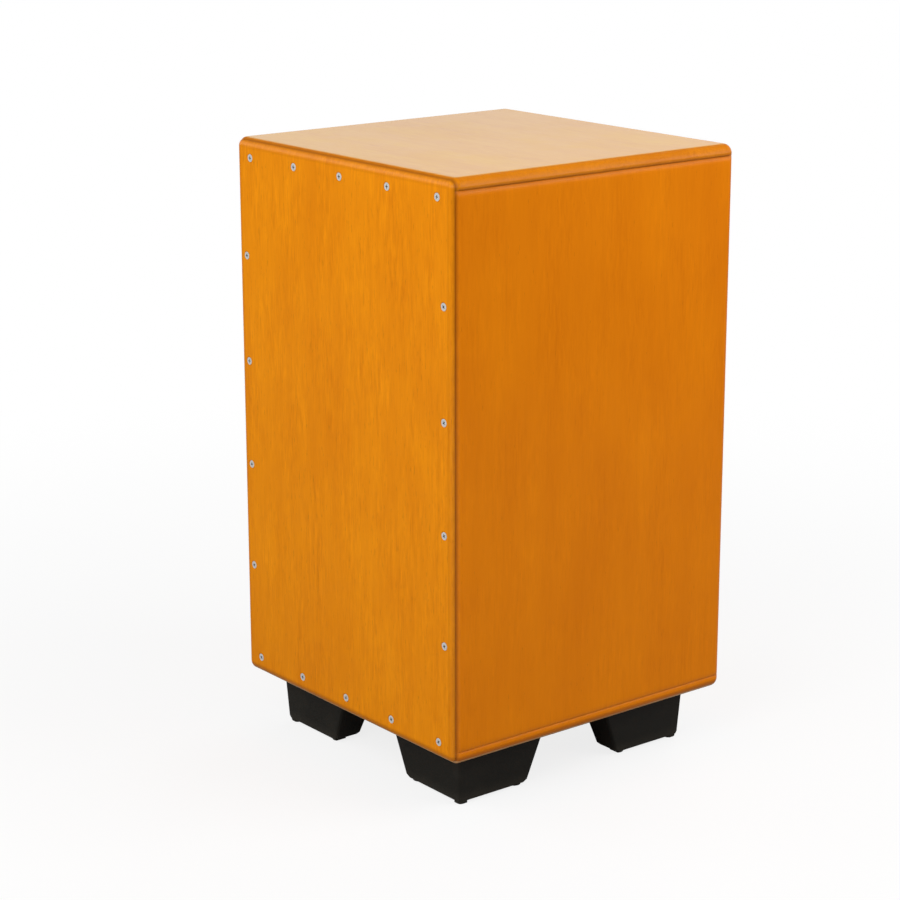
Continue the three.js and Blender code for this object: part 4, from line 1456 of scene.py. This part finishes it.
@dataclass
class Studio:
    """Floor, world, lamps and camera."""

    focal_pixels: float = 2462.97
    image_pixels: float = 900.0
    sensor: float = 36.0
    camera_place: tuple[float, float, float] = (1.60731, -1.30661, 0.82590)
    yaw: float = 51.666
    pitch: float = 15.311
    roll: float = -0.097
    dome_light: float = 0.30
    dim_zenith: float = 0.10
    dim_from: float = 0.30
    dim_to: float = 0.52
    floor_size: float = 30.0
    floor_lit: float = 0.18
    lit_to: float = 0.25
    unlit_from: float = 1.3
    pale: float = 0.80
    dim: float = 0.28
    lamps: tuple[Lamp, ...] = (
        Lamp("key_lamp", 16.0, 30.0, 1.7, 1.2, 19.5),
        Lamp("side_lamp", 124.0, 33.0, 1.45, 1.0, 13.4),
        Lamp("left_lamp", -50.0, 24.0, 2.2, 1.2, 9.0),
        Lamp("rear_lamp", 205.0, 20.0, 2.4, 1.5, 20.0),
    )

    def build(self) -> None:
        """Sets up the whole studio."""
        bpy.context.scene.view_settings.view_transform = "Standard"
        self._camera()
        self._world()
        self._floor()
        for lamp in self.lamps:
            lamp.hang()

    def _camera(self) -> None:
        """Places the camera as the photograph was taken."""
        data = bpy.data.cameras.new("camera")
        data.sensor_width = self.sensor
        data.lens = self.focal_pixels / self.image_pixels * self.sensor
        data.clip_start, data.clip_end = 0.05, 100.0
        camera = link("camera", data)
        back, right = towards(self.yaw, self.pitch), towards(self.yaw + 90, 0)
        turn = Matrix((right, back.cross(right), back)).transposed().to_4x4()
        place = Matrix.Translation(self.camera_place)
        camera.matrix_world = place @ turn @ turned(self.roll, "Z")
        bpy.context.scene.camera = camera

    def _world(self) -> None:
        """A soft dome: white to the camera, and white low down and dim above in reflections."""
        world = bpy.data.worlds.new("dome")
        world.use_nodes = True
        bpy.context.scene.world = world
        graph = Graph(world.node_tree)
        rays = graph.add("ShaderNodeLightPath").outputs
        way = graph.add("ShaderNodeTexCoord").outputs["Generated"]
        height = graph.add("ShaderNodeSeparateXYZ", Vector=way).outputs[2]
        mirrored = graph.ramp(height, self.dim_from, self.dim_to, 1.0, self.dim_zenith)
        strength = graph.between(rays["Is Glossy Ray"], self.dome_light, mirrored)
        strength = graph.between(rays["Is Camera Ray"], strength, 1.0)
        graph.fill(world.node_tree.nodes["Background"], Color=(1, 1, 1), Strength=strength)

    def _floor(self) -> None:
        """A pale floor that shows as white, keeps the shadow and is clear from below."""
        bm = bmesh.new()
        bmesh.ops.create_grid(bm, x_segments=2, y_segments=2, size=self.floor_size)
        mesh = settle("floor", bm)
        material = bpy.data.materials.new("pale_floor")
        material.use_nodes = True
        graph, nodes = Graph(material.node_tree), material.node_tree.nodes
        nodes.remove(nodes["Principled BSDF"])
        seen = graph.add("ShaderNodeLightPath").outputs["Is Camera Ray"]
        span = graph.add("ShaderNodeVectorMath")
        span.operation = "LENGTH"
        graph.feed(span.inputs[0], graph.add("ShaderNodeTexCoord").outputs["Object"])
        far = span.outputs["Value"]
        share = graph.ramp(far, self.lit_to, self.unlit_from, self.floor_lit, 0.0)
        lit, dim = (
            graph.add("ShaderNodeBsdfDiffuse", Color=(c, c, c)) for c in (self.pale, self.dim)
        )
        glow = graph.add("ShaderNodeEmission", Color=(1.0, 1.0, 1.0), Strength=1.0)
        shown = graph.mixed(seen, dim, graph.mixed(share, glow, lit))
        under = graph.times(graph.add("ShaderNodeNewGeometry").outputs["Backfacing"], seen)
        sided = graph.mixed(under, shown, graph.add("ShaderNodeBsdfTransparent"))
        graph.fill(nodes["Material Output"], Surface=sided.outputs[0])
        mesh.materials.append(material)
        link("floor", mesh)


def main() -> None:
    """Builds the studio and every sub-assembly."""
    logging.basicConfig(level=logging.INFO, format="%(name)s %(relativeCreated)d ms: %(message)s")
    Studio().build()
    materials = make_materials()
    for kind in (Case, Battens, Screws, Feet, SnareUnit):
        kind(materials).build()
        log.info("%s is done", kind.__name__)


if __name__ == "__main__":
    main()
